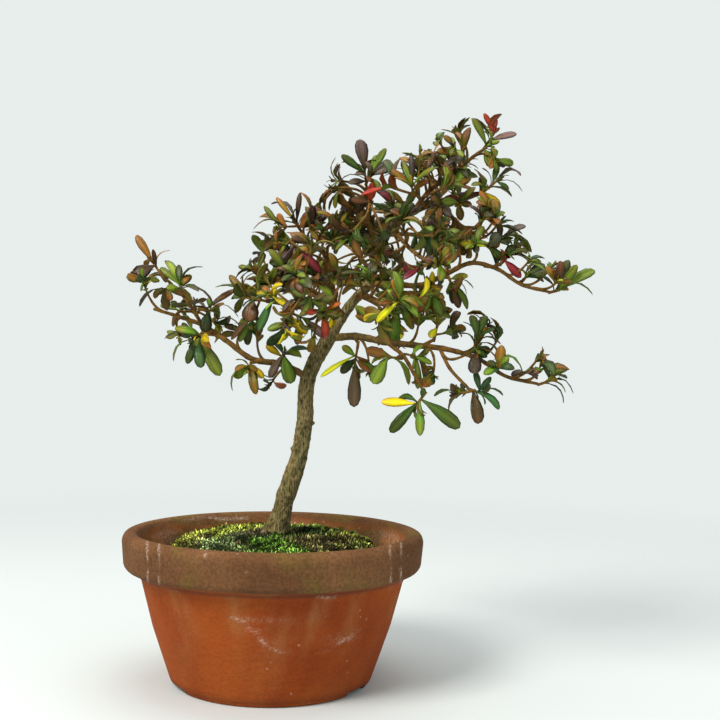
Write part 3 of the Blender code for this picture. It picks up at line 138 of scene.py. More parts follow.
# Each spray: the limb that bears it, and its rosettes. A rosette has its hub's across, down and depth, the letters
# that its other leaves draw their colour from, and how many of those there are. Behind the colon are the leaves
# that can be told apart: across, down, towards the back, width in the view, how each is turned and its colour.
# B faces the front, E is seen on its edge and T is between the two.
SPRAYS = {
    "left_tip": """left_tip; 154 264 -20 zkd 1: 136 235 2 9 Bz, 133 278 -4 17 Bk, 170 250 2 5 Ez, 153 249 -5 5 Bk,
        166 283 4 5 Ek""",
    "left_tip_low": "left_tip; 166 289 -10 odk 1: 154 298 -2 6 To, 139 306 4 5 Ep, 171 301 -5 7 Bo",
    "left_outer": """left_tip; 181 286 -28 gd 0: 160 267 2 7 Bg, 178 264 5 8 Bd, 203 267 -3 6 Ed, 166 259 8 5 Tg,
        198 290 -6 6 Td, 213 304 0 6 Ep""",
    "left_middle": """left_tip; 211 311 -14 gok 0: 209 297 4 6 Bg, 224 303 -4 5 Bo, 205 332 -3 12 Bd, 191 304 2 6 Ep,
        236 289 0 7 Bk, 239 318 -3 5 Ed""",
    "left_back": """low_left; 180 311 8 ogl 1: 160 304 2 8 Bl, 171 326 -3 8 Bo, 190 307 3 8 To; 216 324 4 ogy 1:
        219 339 -3 8 By, 240 325 -4 6 Eo""",
    "left_lower": """low_left; 195 341 -10 gdt 0: 164 339 0 6 Ed, 182 323 4 7 Bg, 173 361 -3 6 Eg, 187 364 -4 9 Bd,
        201 368 -6 11 Bt, 220 376 -8 13 Bl, 209 333 -4 5 Bn""",
    "left_hanging": """low_left; 249 367 -20 god 0: 236 360 2 6 Eg, 235 371 -4 6 To, 232 391 0 7 Eg, 256 394 -6 10 Bo,
        264 378 3 8 By""",
    "trunk_side": "low_left; 284 353 -16 gdp 0: 269 378 -2 9 Bp, 291 384 -5 14 Bg, 309 350 4 10 Tt, 266 345 2 8 By",
    "left_knot": """left_middle; 247 298 -24 odk 1: 229 275 4 8 Bo, 215 287 2 6 Ed, 249 321 -5 17 Bk;
        253 319 -16 gdk 0: 239 342 0 7 Bg, 247 345 4 9 Bd, 231 340 3 6 Bk""",
    "yellow": """left_middle; 292 322 -26 gyr 0: 267 330 -2 9 Bl, 277 344 -4 10 By, 284 313 -3 5 Br, 307 333 4 8 By;
        272 296 -30 lgy 0: 288 307 -3 7 By, 258 331 3 10 Bt; 303 318 -20 pkg 0: 326 337 -2 10 Bp, 297 345 3 9 Bt""",
    "left_crest": "left_high; 254 271 10 gdo 2: 238 266 3 6 Bg, 264 254 0 6 Bg; 270 284 4 dgk 1: 288 279 -3 13 Bk",
    "crest_front": """second_stem; 287 244 -2 gpo 0: 258 262 0 7 Eg, 279 272 -5 8 Bk, 298 264 -4 10 Bp;
        300 249 -6 pgc 0: 321 273 -4 10 Bc""",
    "crest_tip": """second_stem; 294 221 8 odk 0: 276 197 2 6 Bo, 271 205 4 6 Ep, 300 192 0 6 Bk, 321 207 0 5 Ep,
        310 217 -3 14 Bz; 280 227 2 goz 0: 264 206 3 6 Bg, 259 217 0 6 To, 253 230 -3 6 Eo, 264 251 -5 9 Bz""",
    "crest_right": """second_stem; 335 236 8 ogd 0: 333 213 0 8 Bo, 315 215 3 5 Eg, 316 226 5 6 Td, 341 224 -3 6 Ed;
        356 233 2 dgz 0: 341 226 3 7 Ed, 363 209 2 9 Bz, 343 213 -3 5 Tz""",
    "peak": """middle_stem; 365 172 -11 dpo 0: 360 139 -2 13 Bp, 341 155 -3 9 Bd, 342 161 4 6 Eo, 336 190 0 8 Ep,
        349 183 -5 9 Bp; 370 176 -16 pgk 0: 393 165 -3 13 Bp, 386 148 3 8 Bg""",
    "below_peak": """middle_stem; 370 203 -14 kzr 1: 351 200 -3 10 Bk, 352 213 3 8 Bk, 390 211 2 7 Bd;
        352 232 -34 gdk 2; 385 238 -30 gdo 2""",
    "red_leaf": """front_top; 390 187 -40 ogr 0: 361 194 -3 6 Br, 400 158 3 6 Ep, 384 160 2 5 Td; 412 187 -44 og 1:
        391 170 3 8 Bo, 402 160 0 8 Bg, 411 152 4 6 Bp, 428 180 -3 9 Bo""",
    "olive": "leader; 424 176 -12 og 1: 432 153 2 12 Bz, 416 158 5 5 Eo, 403 168 3 8 Bo",
    "crown_left": "top_shoot; 463 153 -19 ogp 1: 441 129 0 7 Eo, 456 132 4 7 To, 443 167 -5 8 Bp, 437 150 2 10 Bz",
    "crown_tip": """top_shoot; 487 147 -12 gdp 0: 472 118 0 9 Bg, 500 141 2 8 Tl, 494 168 -4 13 Bg, 473 150 3 6 Tp;
        494 134 -8 rpk 0: 484 113 -2 6 Br, 495 117 3 7 Br, 502 114 2 4 Er, 517 134 -4 9 Bp""",
    "crown_inner": "top_shoot; 452 190 -18 lgd 1: 466 166 0 10 Bl, 446 163 3 10 Bl, 474 190 -3 6 To",
    "upper_right": """leader; 498 180 -14 dgp 1: 518 172 0 6 Ed, 509 189 -4 6 Bd, 523 191 2 6 Ep, 498 164 2 7 Bd,
        482 168 3 6 Eg; 481 191 -10 gyo 1: 501 205 -2 8 By, 512 196 3 5 Eg, 441 202 -8 11 Bc""",
    "right_upper": "upper_right; 485 217 -18 gdo 2: 504 216 0 6 Ed, 485 200 2 7 Bg, 470 207 3 6 Eg",
    "right": """upper_right; 489 248 -21 pgd 0: 499 233 -4 11 Bp, 460 243 -3 9 By, 505 261 3 9 Bg; 502 240 -16 gdp 0:
        526 226 0 7 Tp, 518 232 4 6 Tg, 533 258 -3 6 Eg, 531 246 3 5 Eg""",
    "right_lower": "long_right; 503 259 -24 cgo 1: 521 278 -4 10 Bc, 531 263 3 6 Eg",
    "far_right_side": "long_right; 526 277 -22 odg 0: 518 268 3 6 Eo, 547 273 -3 8 Bd, 545 264 4 6 Ed",
    "far_right": """long_right; 560 290 -25 lgo 0: 569 263 0 9 Bl, 577 265 -4 10 Bg, 595 270 -4 11 Bl, 593 295 2 6 Eg,
        541 276 3 7 Td""",
    "knuckle": """long_right; 451 283 -22 gdo 1: 474 288 0 7 Eg, 467 294 -4 6 Eg, 467 310 0 8 Tg, 453 304 4 7 Bd,
        468 276 -3 8 Bl""",
    "knuckle_back": "long_right; 447 258 -8 gok 1: 447 228 2 9 Bg, 457 233 -3 9 Bk, 461 256 3 8 Eg",
    "right_hanging": "long_right; 398 302 -12 glo 1: 392 346 -3 13 Bl, 413 330 -5 10 Bg, 418 318 3 8 Bo",
    "spiky": """low_right; 477 340 -30 dgn 1: 471 315 2 5 Td, 487 315 3 6 Td, 495 329 -3 7 Td, 501 345 0 6 Ed,
        500 355 -4 6 Ed, 462 322 0 5 Ed, 459 333 -3 5 Ed; 476 350 -33 pzd 0: 474 374 -5 13 Bp, 498 369 2 8 Ez""",
    "low_right_upright": """low_right; 438 322 -22 ogy 0: 438 297 -2 15 Bo, 427 311 2 5 Bg, 430 338 -3 9 By;
        452 332 -18 dg 1: 461 327 -3 8 Bd, 459 311 3 7 Tk""",
    "far_low": """low_right; 550 381 -35 dgp 0: 543 356 0 8 Bd, 568 369 -3 7 Tg, 567 379 4 6 Ed, 574 393 0 6 Ep,
        563 404 2 4 Ek""",
    "low_side": "low_right; 526 373 -38 pgk 0: 511 375 -2 9 Tp, 542 371 -4 8 Bk, 493 359 2 6 Eg",
    "low_tip": """droop_tip; 480 393 -34 dkg 0: 475 371 0 7 Bt, 491 377 -3 7 Bt, 503 396 2 6 Et, 499 410 0 6 Tt,
        478 424 -6 13 Bk; 458 394 -32 kgo 0: 434 397 -2 9 Em, 464 383 3 7 Bd""",
    "lowest": """droop; 417 404 -42 glo 0: 381 402 0 10 By, 398 397 4 6 Tm, 390 432 -4 11 Bm, 420 436 -5 10 Bm,
        460 428 -4 14 Bm, 424 388 3 6 Bm, 443 405 3 6 Em""",
    "low_front": """droop; 388 357 -34 glo 0: 373 384 -4 14 Bl, 410 384 2 7 Eg, 366 350 -3 12 Bz; 417 357 -26 gol 1:
        418 389 -3 8 Bl, 432 364 -4 7 Bg, 423 345 2 6 Eg""",
    "trunk_front": """low_right; 355 362 -22 gdz 0: 354 407 -5 13 Bb, 379 376 3 8 Tg, 341 373 -3 10 Bd,
        342 346 2 8 Bg, 320 377 5 6 By""",
    "front_left": "front_left; 296 276 -66 gokd 3; 312 300 -58 gdk 2",
    "front_left_low": "front_left; 322 312 -46 gro 2: 341 303 -3 6 Bn; 300 300 -50 gdp 2",
    "front_middle": "front_middle; 399 301 -72 glo 3: 376 322 2 8 By; 378 318 -60 ogy 2",
    "front_middle_high": "front_middle; 372 278 -44 gpd 3; 352 285 -38 gdo 2",
    "front_right": """front_right; 440 264 -66 gdo 2: 424 260 2 7 Tk, 452 244 -2 9 Bg; 421 268 -60 cgd 2:
        402 279 -3 8 Bc""",
    "front_right_high": "front_right; 402 222 -36 gdk 2; 421 236 -48 tgd 2: 426 248 -3 13 Bt",
    "back_left": "back_left; 280 276 80 god 3; 300 268 70 gkd 2",
    "back_left_low": "back_left; 296 306 56 gyo 2; 322 282 48 gdp 2",
    "back_middle": "back_middle; 338 240 86 god 3; 358 234 76 gkd 2",
    "back_middle_low": "back_middle; 345 268 52 gyo 2; 378 250 46 gdp 2",
    "back_right": "back_right; 454 234 90 god 3; 438 220 78 gkd 2",
    "back_right_low": "back_right; 432 252 58 gyo 2; 404 218 46 gdp 2",
    "back_low": "back_low; 434 316 76 god 3; 414 302 66 gkd 2",
    "back_low_inner": "back_low; 400 326 44 gyo 2; 384 286 38 gdp 2",
    "back_top": "back_top; 456 180 56 god 3; 442 172 44 gkd 2",
}


@dataclass(frozen=True)
class View:
    """The front view: where the eye is, its slight tilt, and how its square picture is measured."""

    distance: float = 608.3
    height: float = 177.4
    aside: float = 49.7
    pitch: float = 0.0245
    roll: float = -0.0197
    focal: float = 1000.35
    centre: float = 360.0

    def seen(self, across: float, down: float, depth: float) -> Array:
        """Turns a point of the view that lies this far back into its real place.

        Args:
            across: how far right it is in the 720 wide view.
            down: how far down it is.
            depth: how far behind the trunk's foot it lies.

        Returns:
            The place (x, y, z).
        """
        right, up = across - self.centre, self.centre - down
        roll_cos, roll_sin = math.cos(self.roll), math.sin(self.roll)
        right, up = right * roll_cos + up * roll_sin, up * roll_cos - right * roll_sin
        pitch_cos, pitch_sin = math.cos(self.pitch), math.sin(self.pitch)
        ray = np.array([right / self.focal, pitch_cos - up / self.focal * pitch_sin,
                        pitch_sin + up / self.focal * pitch_cos])
        reach = (depth + self.distance) / ray[1]
        return np.array([self.aside, -self.distance, self.height]) + ray * reach

    def shown(self, points: Array) -> Array:
        """Where real places show in the view, as rows of across and down."""
        away = points - np.array([self.aside, -self.distance, self.height])
        pitch_cos, pitch_sin = math.cos(self.pitch), math.sin(self.pitch)
        depth = away[:, 1] * pitch_cos + away[:, 2] * pitch_sin
        right, up = away[:, 0] / depth, (away[:, 2] * pitch_cos - away[:, 1] * pitch_sin) / depth
        roll_cos, roll_sin = math.cos(self.roll), math.sin(self.roll)
        right, up = right * roll_cos - up * roll_sin, up * roll_cos + right * roll_sin
        return np.stack([self.centre + right * self.focal, self.centre - up * self.focal], axis=-1)

    def add_camera(self) -> None:
        """Adds the camera that sees this view, and makes it the scene's."""
        data = bpy.data.cameras.new("camera")
        data.sensor_width = 36.0
        data.lens = self.focal * data.sensor_width / 720
        data.clip_end = 20.0
        camera = placed("camera", data)
        camera.rotation_mode = "XYZ"
        tilt = Matrix.Rotation(math.pi / 2 + self.pitch, 4, "X") @ Matrix.Rotation(-self.roll, 4, "Z")
        place = Matrix.Translation((self.aside * MM, -self.distance * MM, self.height * MM))
        camera.matrix_world = place @ tilt
        bpy.context.scene.camera = camera


VIEW = View()


def placed(name: str, data: bpy.types.ID) -> bpy.types.Object:
    """An object of this data, in the scene."""
    made = bpy.data.objects.new(name, data)
    bpy.context.scene.collection.objects.link(made)
    return made


def unit(vectors: Array) -> Array:
    """Vectors made one long, along the last axis."""
    return vectors / np.linalg.norm(vectors, axis=-1, keepdims=True)


def smooth(points: Sequence, step: float) -> Array:
    """A Catmull-Rom line through points, in rows about this far apart. A row may carry a radius too.

    On each stretch the place is the cubic that passes both ends with slopes half the way between the
    neighbours on either side.

    Args:
        points: rows of place, with a radius or without.
        step: how far apart the new rows are.

    Returns:
        The rows.
    """
    points = np.asarray(points, float)
    padded = np.vstack([2 * points[0] - points[1], points, 2 * points[-1] - points[-2]])
    rows = [points[:1]]
    for before, start, end, after in zip(padded, padded[1:], padded[2:], padded[3:]):
        count = max(1, round(np.linalg.norm((end - start)[:3]) / step))
        t = (np.arange(1, count + 1) / count)[:, None]
        rows.append(0.5 * (2 * start + (end - before) * t + (2 * before - 5 * start + 4 * end - after) * t**2
                           + (3 * start - before - 3 * end + after) * t**3))
    return np.vstack(rows)


def thinned(rows: Array, step: float) -> Array:
    """Rows of a fine line that are about this far apart, with both ends."""
    run = np.concatenate([[0], np.cumsum(np.linalg.norm(np.diff(rows[:, :3], axis=0), axis=1))])
    places = np.linspace(0, run[-1], max(1, round(run[-1] / step)) + 1)
    return np.column_stack([np.interp(places, run, column) for column in rows.T])


def filled(rows: Array, step: float) -> Array:
    """The same straight stretches, with rows about this far apart."""
    pieces = [rows[:1]]
    for start, end in zip(rows, rows[1:]):
        count = max(1, round(np.linalg.norm((end - start)[:3]) / step))
        pieces.append(start + (end - start) * (np.arange(1, count + 1) / count)[:, None])
    return np.vstack(pieces)


def distances(points: Array, line: Array) -> Array:
    """How far each point is from the nearest stretch of a line."""
    starts, steps = line[:-1, :3], np.diff(line[:, :3], axis=0)
    lengths = np.maximum((steps**2).sum(1), 1e-9)
    away = points[:, None] - starts[None]
    t = np.clip((away * steps).sum(2) / lengths, 0, 1)
    return np.linalg.norm(away - t[..., None] * steps, axis=2).min(1)


def bent_line(start: Array, along: Array, end: Array, bend: Array) -> Array:
    """A parabola from start, which it leaves along its limb, to end: (1-t)^2 start + 2t(1-t) middle + t^2 end."""
    reach = np.linalg.norm(end - start)
    middle = start + along * 0.45 * reach + bend
    t = np.linspace(0, 1, max(16, round(reach / TwigRules.row)) + 1)[:, None]
    return (1 - t) ** 2 * start + 2 * t * (1 - t) * middle + t**2 * end


def end_way(rows: Array) -> Array:
    """The way that a stem's last stretch runs."""
    return unit(rows[-1, :3] - rows[-2, :3])


def seated(twig: Array, along: Array) -> Array:
    """The twig with its foot held just off the flat end that bears it, which faces this way."""
    way = unit(twig[1, :3] - twig[0, :3])
    lean = math.sqrt(max(0.0, 1 - way.dot(along) ** 2))
    twig = twig.copy()
    twig[0, :3] += along * (GAP + twig[0, 3] * lean)
    return twig


def tapered(line: Array, start_radius: float, end_radius: float) -> Array:
    """A line's places with the radius at each."""
    return np.column_stack([line, np.linspace(start_radius, end_radius, len(line))])


def square_to(direction: Array, wanted: Array) -> Array:
    """The unit vector nearest to the wanted one that is square to a direction."""
    direction = unit(direction)
    flat = wanted - direction * wanted.dot(direction)
    if np.linalg.norm(flat) > 0.05:
        return unit(flat)
    return square_to(direction, wanted + np.array([0.3, -0.8, 0.4]))


def round_about(axis: Array) -> tuple[Array, Array]:
    """Two vectors square to a shoot's axis, between which leaves are turned round it."""
    aside = unit(np.cross(axis, [0.2, 0.1, 1.0]))
    return aside, np.cross(axis, aside)


def blade_middle(blade: Blade, t: Array) -> Array:
    """Points of a blade's arched rib, from its root at 0 to its tip at 1: chord plus arch times 4t(1-t)."""
    t = np.asarray(t, float)[:, None]
    length = np.linalg.norm(blade.tip - blade.root)
    return blade.root + (blade.tip - blade.root) * t + blade.normal * blade.arch * length * 4 * t * (1 - t)


@dataclass(frozen=True)
class TwigRules:
    """How thick twigs are, how far apart the rows of their lines lie, and the room and bends that they try."""

    radius: float = 1.1
    side_radius: float = 1.0
    stub_radius: float = 1.2
    trunk_step: float = 12.0
    limb_step: float = 18.0
    twig_step: float = 14.0
    stub_step: float = 6.0
    limb_row: float = 1.0
    row: float = 0.5
    room_wanted: float = 0.45
    stub_reach: float = 0.7
    shortest_rows: int = 7
    first_side_row: int = 6
    side_rows: int = 8
    first_limb_row: int = 8
    last_limb_rows: int = 6
    trunk_sunk: float = 22.0
    trunk_foot_radius: float = 7.4
    bends: tuple = ((0, 0, 0), (0, 5, 2), (0, -5, 2), (0, 9, 4), (0, -9, 4), (0, 4, -6), (0, -4, -6), (6, 0, 4),
                    (-6, 0, 4), (0, 14, 0), (0, -14, 0))


@dataclass(frozen=True)
class BladeRules:
    """How leaves are turned, how they are drawn where the view doesn't tell, and how far they keep apart."""

    least_turned_width: float = 5.5
    broad_from: float = 11
    bud_length: float = 7.0
    leaves_to_a_bud: int = 4
    depth_shifts: tuple = (0, 4, -4, 8, -8, 12, -12)
    seed: int = 7
    tries: int = 14
    lean: tuple = (42, 80)
    length: tuple = (12.5, 19.0)
    width: tuple = (5.2, 7.6)
    arch: tuple = (0.07, 0.2)
    of_blades: float = 2.7
    of_wood: float = 2.1
    in_spray: float = 1.5
    of_own_twig: float = 1.0
    blade_reach: float = 26.0
    wood_reach: float = 24.0
    stretch_rows: int = 10
    outer_from: float = 0.3


TWIGS = TwigRules()
BLADES = BladeRules()
TOLD_POSES = {"B": (80, 0.05), "T": (45, 0.11), "E": (8, 0.17)}
SAMPLE_PLACES = np.array([0.14, 0.34, 0.54, 0.74, 0.94])
SAMPLE_SIDES = (-0.42, 0.0, 0.42)


def told_blade(node: str, root: Array, tip: Array, view_width: float, kind: str) -> Blade:
    """A leaf that the front view shows.

    Args:
        node: the spray that it belongs to.
        root: where it leaves its shoot.
        tip: its tip.
        view_width: its width in the view.
        kind: how it is turned (B to the front, E on its edge, T between), and its colour's letter.

    Returns:
        The leaf.
    """
    pose, colour = kind
    turn, arch = TOLD_POSES[pose]
    turn = math.radians(turn)
    normal = square_to(tip - root, np.array([0, -math.sin(turn), math.cos(turn) + 0.15]))
    width = view_width * (tip[1] + VIEW.distance) / VIEW.focal
    if pose != "B":
        width = max(width, BLADES.least_turned_width)
    outline = Outline.BROAD if view_width >= BLADES.broad_from else Outline.PLAIN
    return Blade(node, root, tip, normal, width, arch, colour, outline)


def free_blade(draw: np.random.Generator, node: str, root: Array, axis: Array, turn: float, palette: str) -> Blade:
    """A leaf that leans out from its shoot, its upper face towards the shoot's tip.

    Args:
        draw: where the random numbers come from.
        node: the spray that it belongs to.
        root: where it leaves its shoot.
        axis: the way the shoot points.
        turn: how far round the shoot it stands.
        palette: the letters that its colour is drawn from.

    Returns:
        The leaf.
    """
    aside, other = round_about(axis)
    lean = math.radians(draw.uniform(*BLADES.lean))
    out = aside * math.cos(turn) + other * math.sin(turn)
    way = unit(axis * math.cos(lean) + out * math.sin(lean) + np.array([0, 0, draw.uniform(-0.1, 0.25)]))
    tip = root + way * draw.uniform(*BLADES.length)
    normal = square_to(way, axis + np.array([0, 0, 0.35]))
    colour = palette[int(draw.integers(len(palette)))]
    return Blade(node, root, tip, normal, draw.uniform(*BLADES.width), draw.uniform(*BLADES.arch), colour,
                 Outline.SMALL)


class Crown:
    """Where every limb, twig and leaf of the solids goes, by the same rule and the same draws as theirs."""

    def __init__(self) -> None:
        """Lays out the limbs, the twigs and the leaves, each bent clear of what is there already."""
        self.limb_rows = self.lay_limbs()
        self.limbs = {name: filled(rows, TWIGS.limb_row) for name, rows in self.limb_rows.items()}
        self.stub_rows: list[Array] = []
        self.twig_rows: list[tuple[str, Array]] = []
        self.stubs: list[tuple[str, Array]] = []
        self.twigs: list[tuple[str, Array]] = []
        self.blades: list[Blade] = []
        self.taken_ends: set[str] = set()
        self.samples = np.empty((0, 3))
        self.sample_nodes = np.empty(0, int)
        self.sample_outer = np.empty(0, bool)
        self.limb_of, self.rosettes_of = {}, {}
        for name, text in SPRAYS.items():
            limb, *rosettes = text.split(";")
            self.limb_of[name + "_spray"] = limb
            self.rosettes_of[name + "_spray"] = [Rosette.read(rosette) for rosette in rosettes]
        self.nodes = list(self.limb_of)
        self.hubs: dict[str, list[tuple[Array, Array, float]]] = {}
        for name in self.nodes:
            self.add_twigs(name)
        self.gather_wood()
        self.add_told_blades()
        self.add_more_blades()

    def lay_limbs(self) -> dict[str, Array]:
        """The rows of each limb, which hold a place and the radius there."""
        laid = {}
        for name, route in LIMBS.items():
            points = [numbers(point.split()) for point in route.split(",")]
            rows = [(*VIEW.seen(*point[:3]), point[3]) for point in points]
            if name == "trunk":
                foot = np.array(rows[0])
                rows[:0] = [(foot[0], foot[1], foot[2] - TWIGS.trunk_sunk, TWIGS.trunk_foot_radius),
                            (foot[0], foot[1], foot[2] - 4, TWIGS.trunk_foot_radius)]
            step = TWIGS.trunk_step if name == "trunk" else TWIGS.limb_step
            laid[name] = thinned(smooth(rows, TWIGS.limb_row), step)
        return laid

    def wood_lines(self, name: str, limb: str) -> list[Array]:
        """The lines that a twig of this spray keeps clear of."""
        lines = [line for other, line in self.limbs.items() if other != limb]
        lines += [line for owner, line in self.stubs if owner != name]
        return lines + [line for owner, line in self.twigs if owner != name]

    def clearance(self, line: Array, others: list[Array]) -> float:
        """The least room between a line's wood and that of the others."""
        thickest = line[:, 3].max()
        return min((distances(line[:, :3], other) - other[:, 3].max() - thickest).min() for other in others)

    def best_of(self, trials: Iterator) -> tuple | Array:
        """The first trial twig with room enough, or else the one with the most. A trial is (room, result)."""
        best = None
        for room, result in trials:
            if best is None or room > best[0] + 0.01:
                best = (room, result)
            if room > TWIGS.room_wanted:
                break
        return best[1]

    def end_twigs(self, line: Array, along: Array, hub: Array, others: list[Array]) -> Iterator:
        """Trial twigs that go on from the free end of a limb."""
        for bend in TWIGS.bends:
            middle = bent_line(line[-1, :3], along, hub, np.array(bend))
            twig = seated(thinned(tapered(middle, line[-1, 3], TWIGS.radius), TWIGS.twig_step), along)
            rows = filled(twig, TWIGS.row)
            own_room = self.clearance(rows[5:], [line[:-3]]) + 1.0
            yield min(self.clearance(rows, others), own_room), (None, twig)

    def side_twigs(self, line: Array, row: int, along: Array, hub: Array, others: list[Array]) -> Iterator:
        """Trial twigs that leave a limb at its side, each with the stub of it that the limb bears."""
        reach = line[row, 3] + TWIGS.stub_radius + TWIGS.stub_reach
        for bend in TWIGS.bends:
            middle = bent_line(line[row, :3], along, hub, np.array(bend))
            whole = tapered(middle, TWIGS.stub_radius, TWIGS.radius)
            inside = np.flatnonzero(distances(whole[:, :3], line) < reach)
            end = min(max(inside[-1] + 1, 2), len(whole) - TWIGS.shortest_rows)
            stub = thinned(whole[: end + 1], TWIGS.stub_step)
            twig = seated(thinned(whole[end:], TWIGS.twig_step), end_way(stub))
            room = self.clearance(filled(twig, TWIGS.row), [*others, line])
            yield min(room, self.clearance(filled(stub, TWIGS.row), others)), (stub, twig)

    def inner_twigs(self, twig_line: Array, row: int, hub: Array, others: list[Array]) -> Iterator:
        """Trial twigs that leave a spray's main twig for a further rosette."""
        along = unit(twig_line[row + 1, :3] - twig_line[row, :3])
        for bend in TWIGS.bends:
            middle = bent_line(twig_line[row, :3], along, hub, np.array(bend))
            twig = thinned(tapered(middle, TWIGS.side_radius, TWIGS.side_radius), TWIGS.twig_step)
            yield self.clearance(filled(twig, TWIGS.row)[2:], others), twig

    def foot(self, limb: str, hub: Array) -> tuple[int, bool]:
        """The row of the limb at which a twig for this hub leaves, and whether it is the limb's free end."""
        line = self.limbs[limb]
        nearest = int(np.linalg.norm(line[:, :3] - hub, axis=1).argmin())
        if nearest >= len(line) - 4 and limb not in self.taken_ends:
            self.taken_ends.add(limb)
            return len(line) - 1, True
        away = np.linalg.norm(line[nearest, :3] - hub)
        row = np.clip(nearest - max(4, 0.5 * away), TWIGS.first_limb_row, len(line) - TWIGS.last_limb_rows)
        return int(row), False

    def add_twigs(self, name: str) -> None:
        """A spray's main twig, with its stub on the limb, and a side twig for each further rosette."""
        limb = self.limb_of[name]
        line = self.limbs[limb]
        hub, *further = [VIEW.seen(*rosette.hub) for rosette in self.rosettes_of[name]]
        row, at_end = self.foot(limb, hub)
        along = unit(line[row, :3] - line[row - 3, :3])
        others = self.wood_lines(name, limb)
        if at_end:
            stub, twig = self.best_of(self.end_twigs(line, along, hub, others))
        else:
            stub, twig = self.best_of(self.side_twigs(line, row, along, hub, others))
            self.stub_rows.append(stub)
            self.stubs.append((name, filled(stub, TWIGS.row)))
            others = [*others, self.stubs[-1][1]]
        twig_line = self.keep_twig(name, twig)
        for hub in further:
            nearest = int(np.linalg.norm(twig_line[:, :3] - hub, axis=1).argmin())
            row = min(max(nearest - TWIGS.side_rows, TWIGS.first_side_row), len(twig_line) - 2)
            side = self.best_of(self.inner_twigs(twig_line, row, hub, [*others, line]))
            self.keep_twig(name, side)

    def keep_twig(self, name: str, twig: Array) -> Array:
        """Keeps a twig, with its end, the way that points, and how far back along it leaves may be rooted."""
        line = filled(twig, TWIGS.row)
        self.twig_rows.append((name, twig))
        self.twigs.append((name, line))
        rooted = min(BLADES.bud_length, len(line) * TWIGS.row - 2.0)
        self.hubs.setdefault(name, []).append((twig[-1, :3], end_way(twig), rooted))
        return line

    def gather_wood(self) -> None:
        """Cuts all wood into short stretches, each with its spray. Limbs and stubs belong to none."""
        owned = [("", line) for line in self.limbs.values()]
        owned += [("", line) for _, line in self.stubs] + self.twigs
        step = BLADES.stretch_rows
        self.stretches = [(owner, line[k:k + step + 1]) for owner, line in owned for k in range(0, len(line) - 1, step)]
        self.centres = np.array([line[:, :3].mean(0) for _, line in self.stretches])

    def blade_samples(self, blade: Blade) -> tuple[Array, Array]:
        """Points spread over a blade, and which of them are in its outer part."""
        t = np.repeat(SAMPLE_PLACES, len(SAMPLE_SIDES))
        across = np.tile(SAMPLE_SIDES, len(SAMPLE_PLACES)) * np.interp(t, (0, 0.5, 0.85, 1), (0.2, 0.9, 0.95, 0.4))
        side = unit(np.cross(blade.tip - blade.root, blade.normal))
        points = blade_middle(blade, t) + across[:, None] * blade.width * side
        return points, t > BLADES.outer_from

    def clear_of_blades(self, points: Array, outer: Array, index: int, ease: float) -> bool:
        """True where a new blade keeps off the blades of other sprays and the outer parts of its own."""
        near = np.abs(self.samples - points.mean(0)).max(1) < BLADES.blade_reach
        if not near.any():
            return True
        own = self.sample_nodes[near] == index
        away = np.linalg.norm(points[:, None] - self.samples[near][None], axis=2)
        if (away[:, ~own] < BLADES.of_blades * ease).any():
            return False
        return not (away[np.ix_(outer, own & self.sample_outer[near])] < BLADES.in_spray * ease).any()

    def clear_of_wood(self, points: Array, outer: Array, index: int, ease: float) -> bool:
        """True where a new blade keeps off all wood, but for the foot that is sunk in its own twig."""
        near = np.linalg.norm(self.centres - points.mean(0), axis=1) < BLADES.wood_reach
        for k in np.flatnonzero(near):
            owner, line = self.stretches[k]
            own = owner == self.nodes[index]
            room = distances(points[outer] if own else points, line) - line[:, 3].max()
            if (room < (BLADES.of_own_twig if own else BLADES.of_wood) * ease).any():
                return False
        return True

    def kept(self, blade: Blade, index: int, ease: float = 1.0) -> bool:
        """Keeps a blade if it is clear of everything.

        Args:
            blade: the blade to try.
            index: the number of its spray.
            ease: the share of the usual clear room that it needs.

        Returns:
            Whether it was kept.
        """
        points, outer = self.blade_samples(blade)
        if not (self.clear_of_blades(points, outer, index, ease) and self.clear_of_wood(points, outer, index, ease)):
            return False
        self.blades.append(blade)
        self.samples = np.vstack([self.samples, points])
        self.sample_nodes = np.concatenate([self.sample_nodes, np.full(len(points), index)])
        self.sample_outer = np.concatenate([self.sample_outer, outer])
        return True

    def rosettes(self) -> Iterator:
        """Each rosette with its spray's number and name, and its twig's end, way and rooted length."""
        for index, name in enumerate(self.nodes):
            for (end, axis, rooted), rosette in zip(self.hubs[name], self.rosettes_of[name]):
                yield index, name, end, axis, rooted, rosette

    def add_told_blades(self) -> None:
        """The leaves that can be told apart in the view. One that would cross another is bent forward or back."""
        for index, name, end, axis, rooted, rosette in self.rosettes():
            for k, (across, down, back, width, kind) in enumerate(rosette.leaves):
                root = end - axis * rooted * k / max(BLADES.leaves_to_a_bud, len(rosette.leaves))
                for shift in BLADES.depth_shifts:
                    tip = VIEW.seen(across, down, rosette.hub[2] + back + shift)
                    if self.kept(told_blade(name, root, tip, width, kind), index):
                        break

    def add_more_blades(self) -> None:
        """The other leaves of each rosette, turned round its shoot by the golden angle."""
        draw = np.random.default_rng(BLADES.seed)
        for index, name, end, axis, rooted, rosette in self.rosettes():
            turn = draw.uniform(0, 2 * math.pi)
            for k in range(rosette.more):
                root = end - axis * rooted * (k + 0.5) / max(BLADES.leaves_to_a_bud, rosette.more)
                for _ in range(BLADES.tries):
                    turn += GOLDEN_ANGLE + draw.uniform(-0.4, 0.4)
                    if self.kept(free_blade(draw, name, root, axis, turn, rosette.palette), index):
                        break


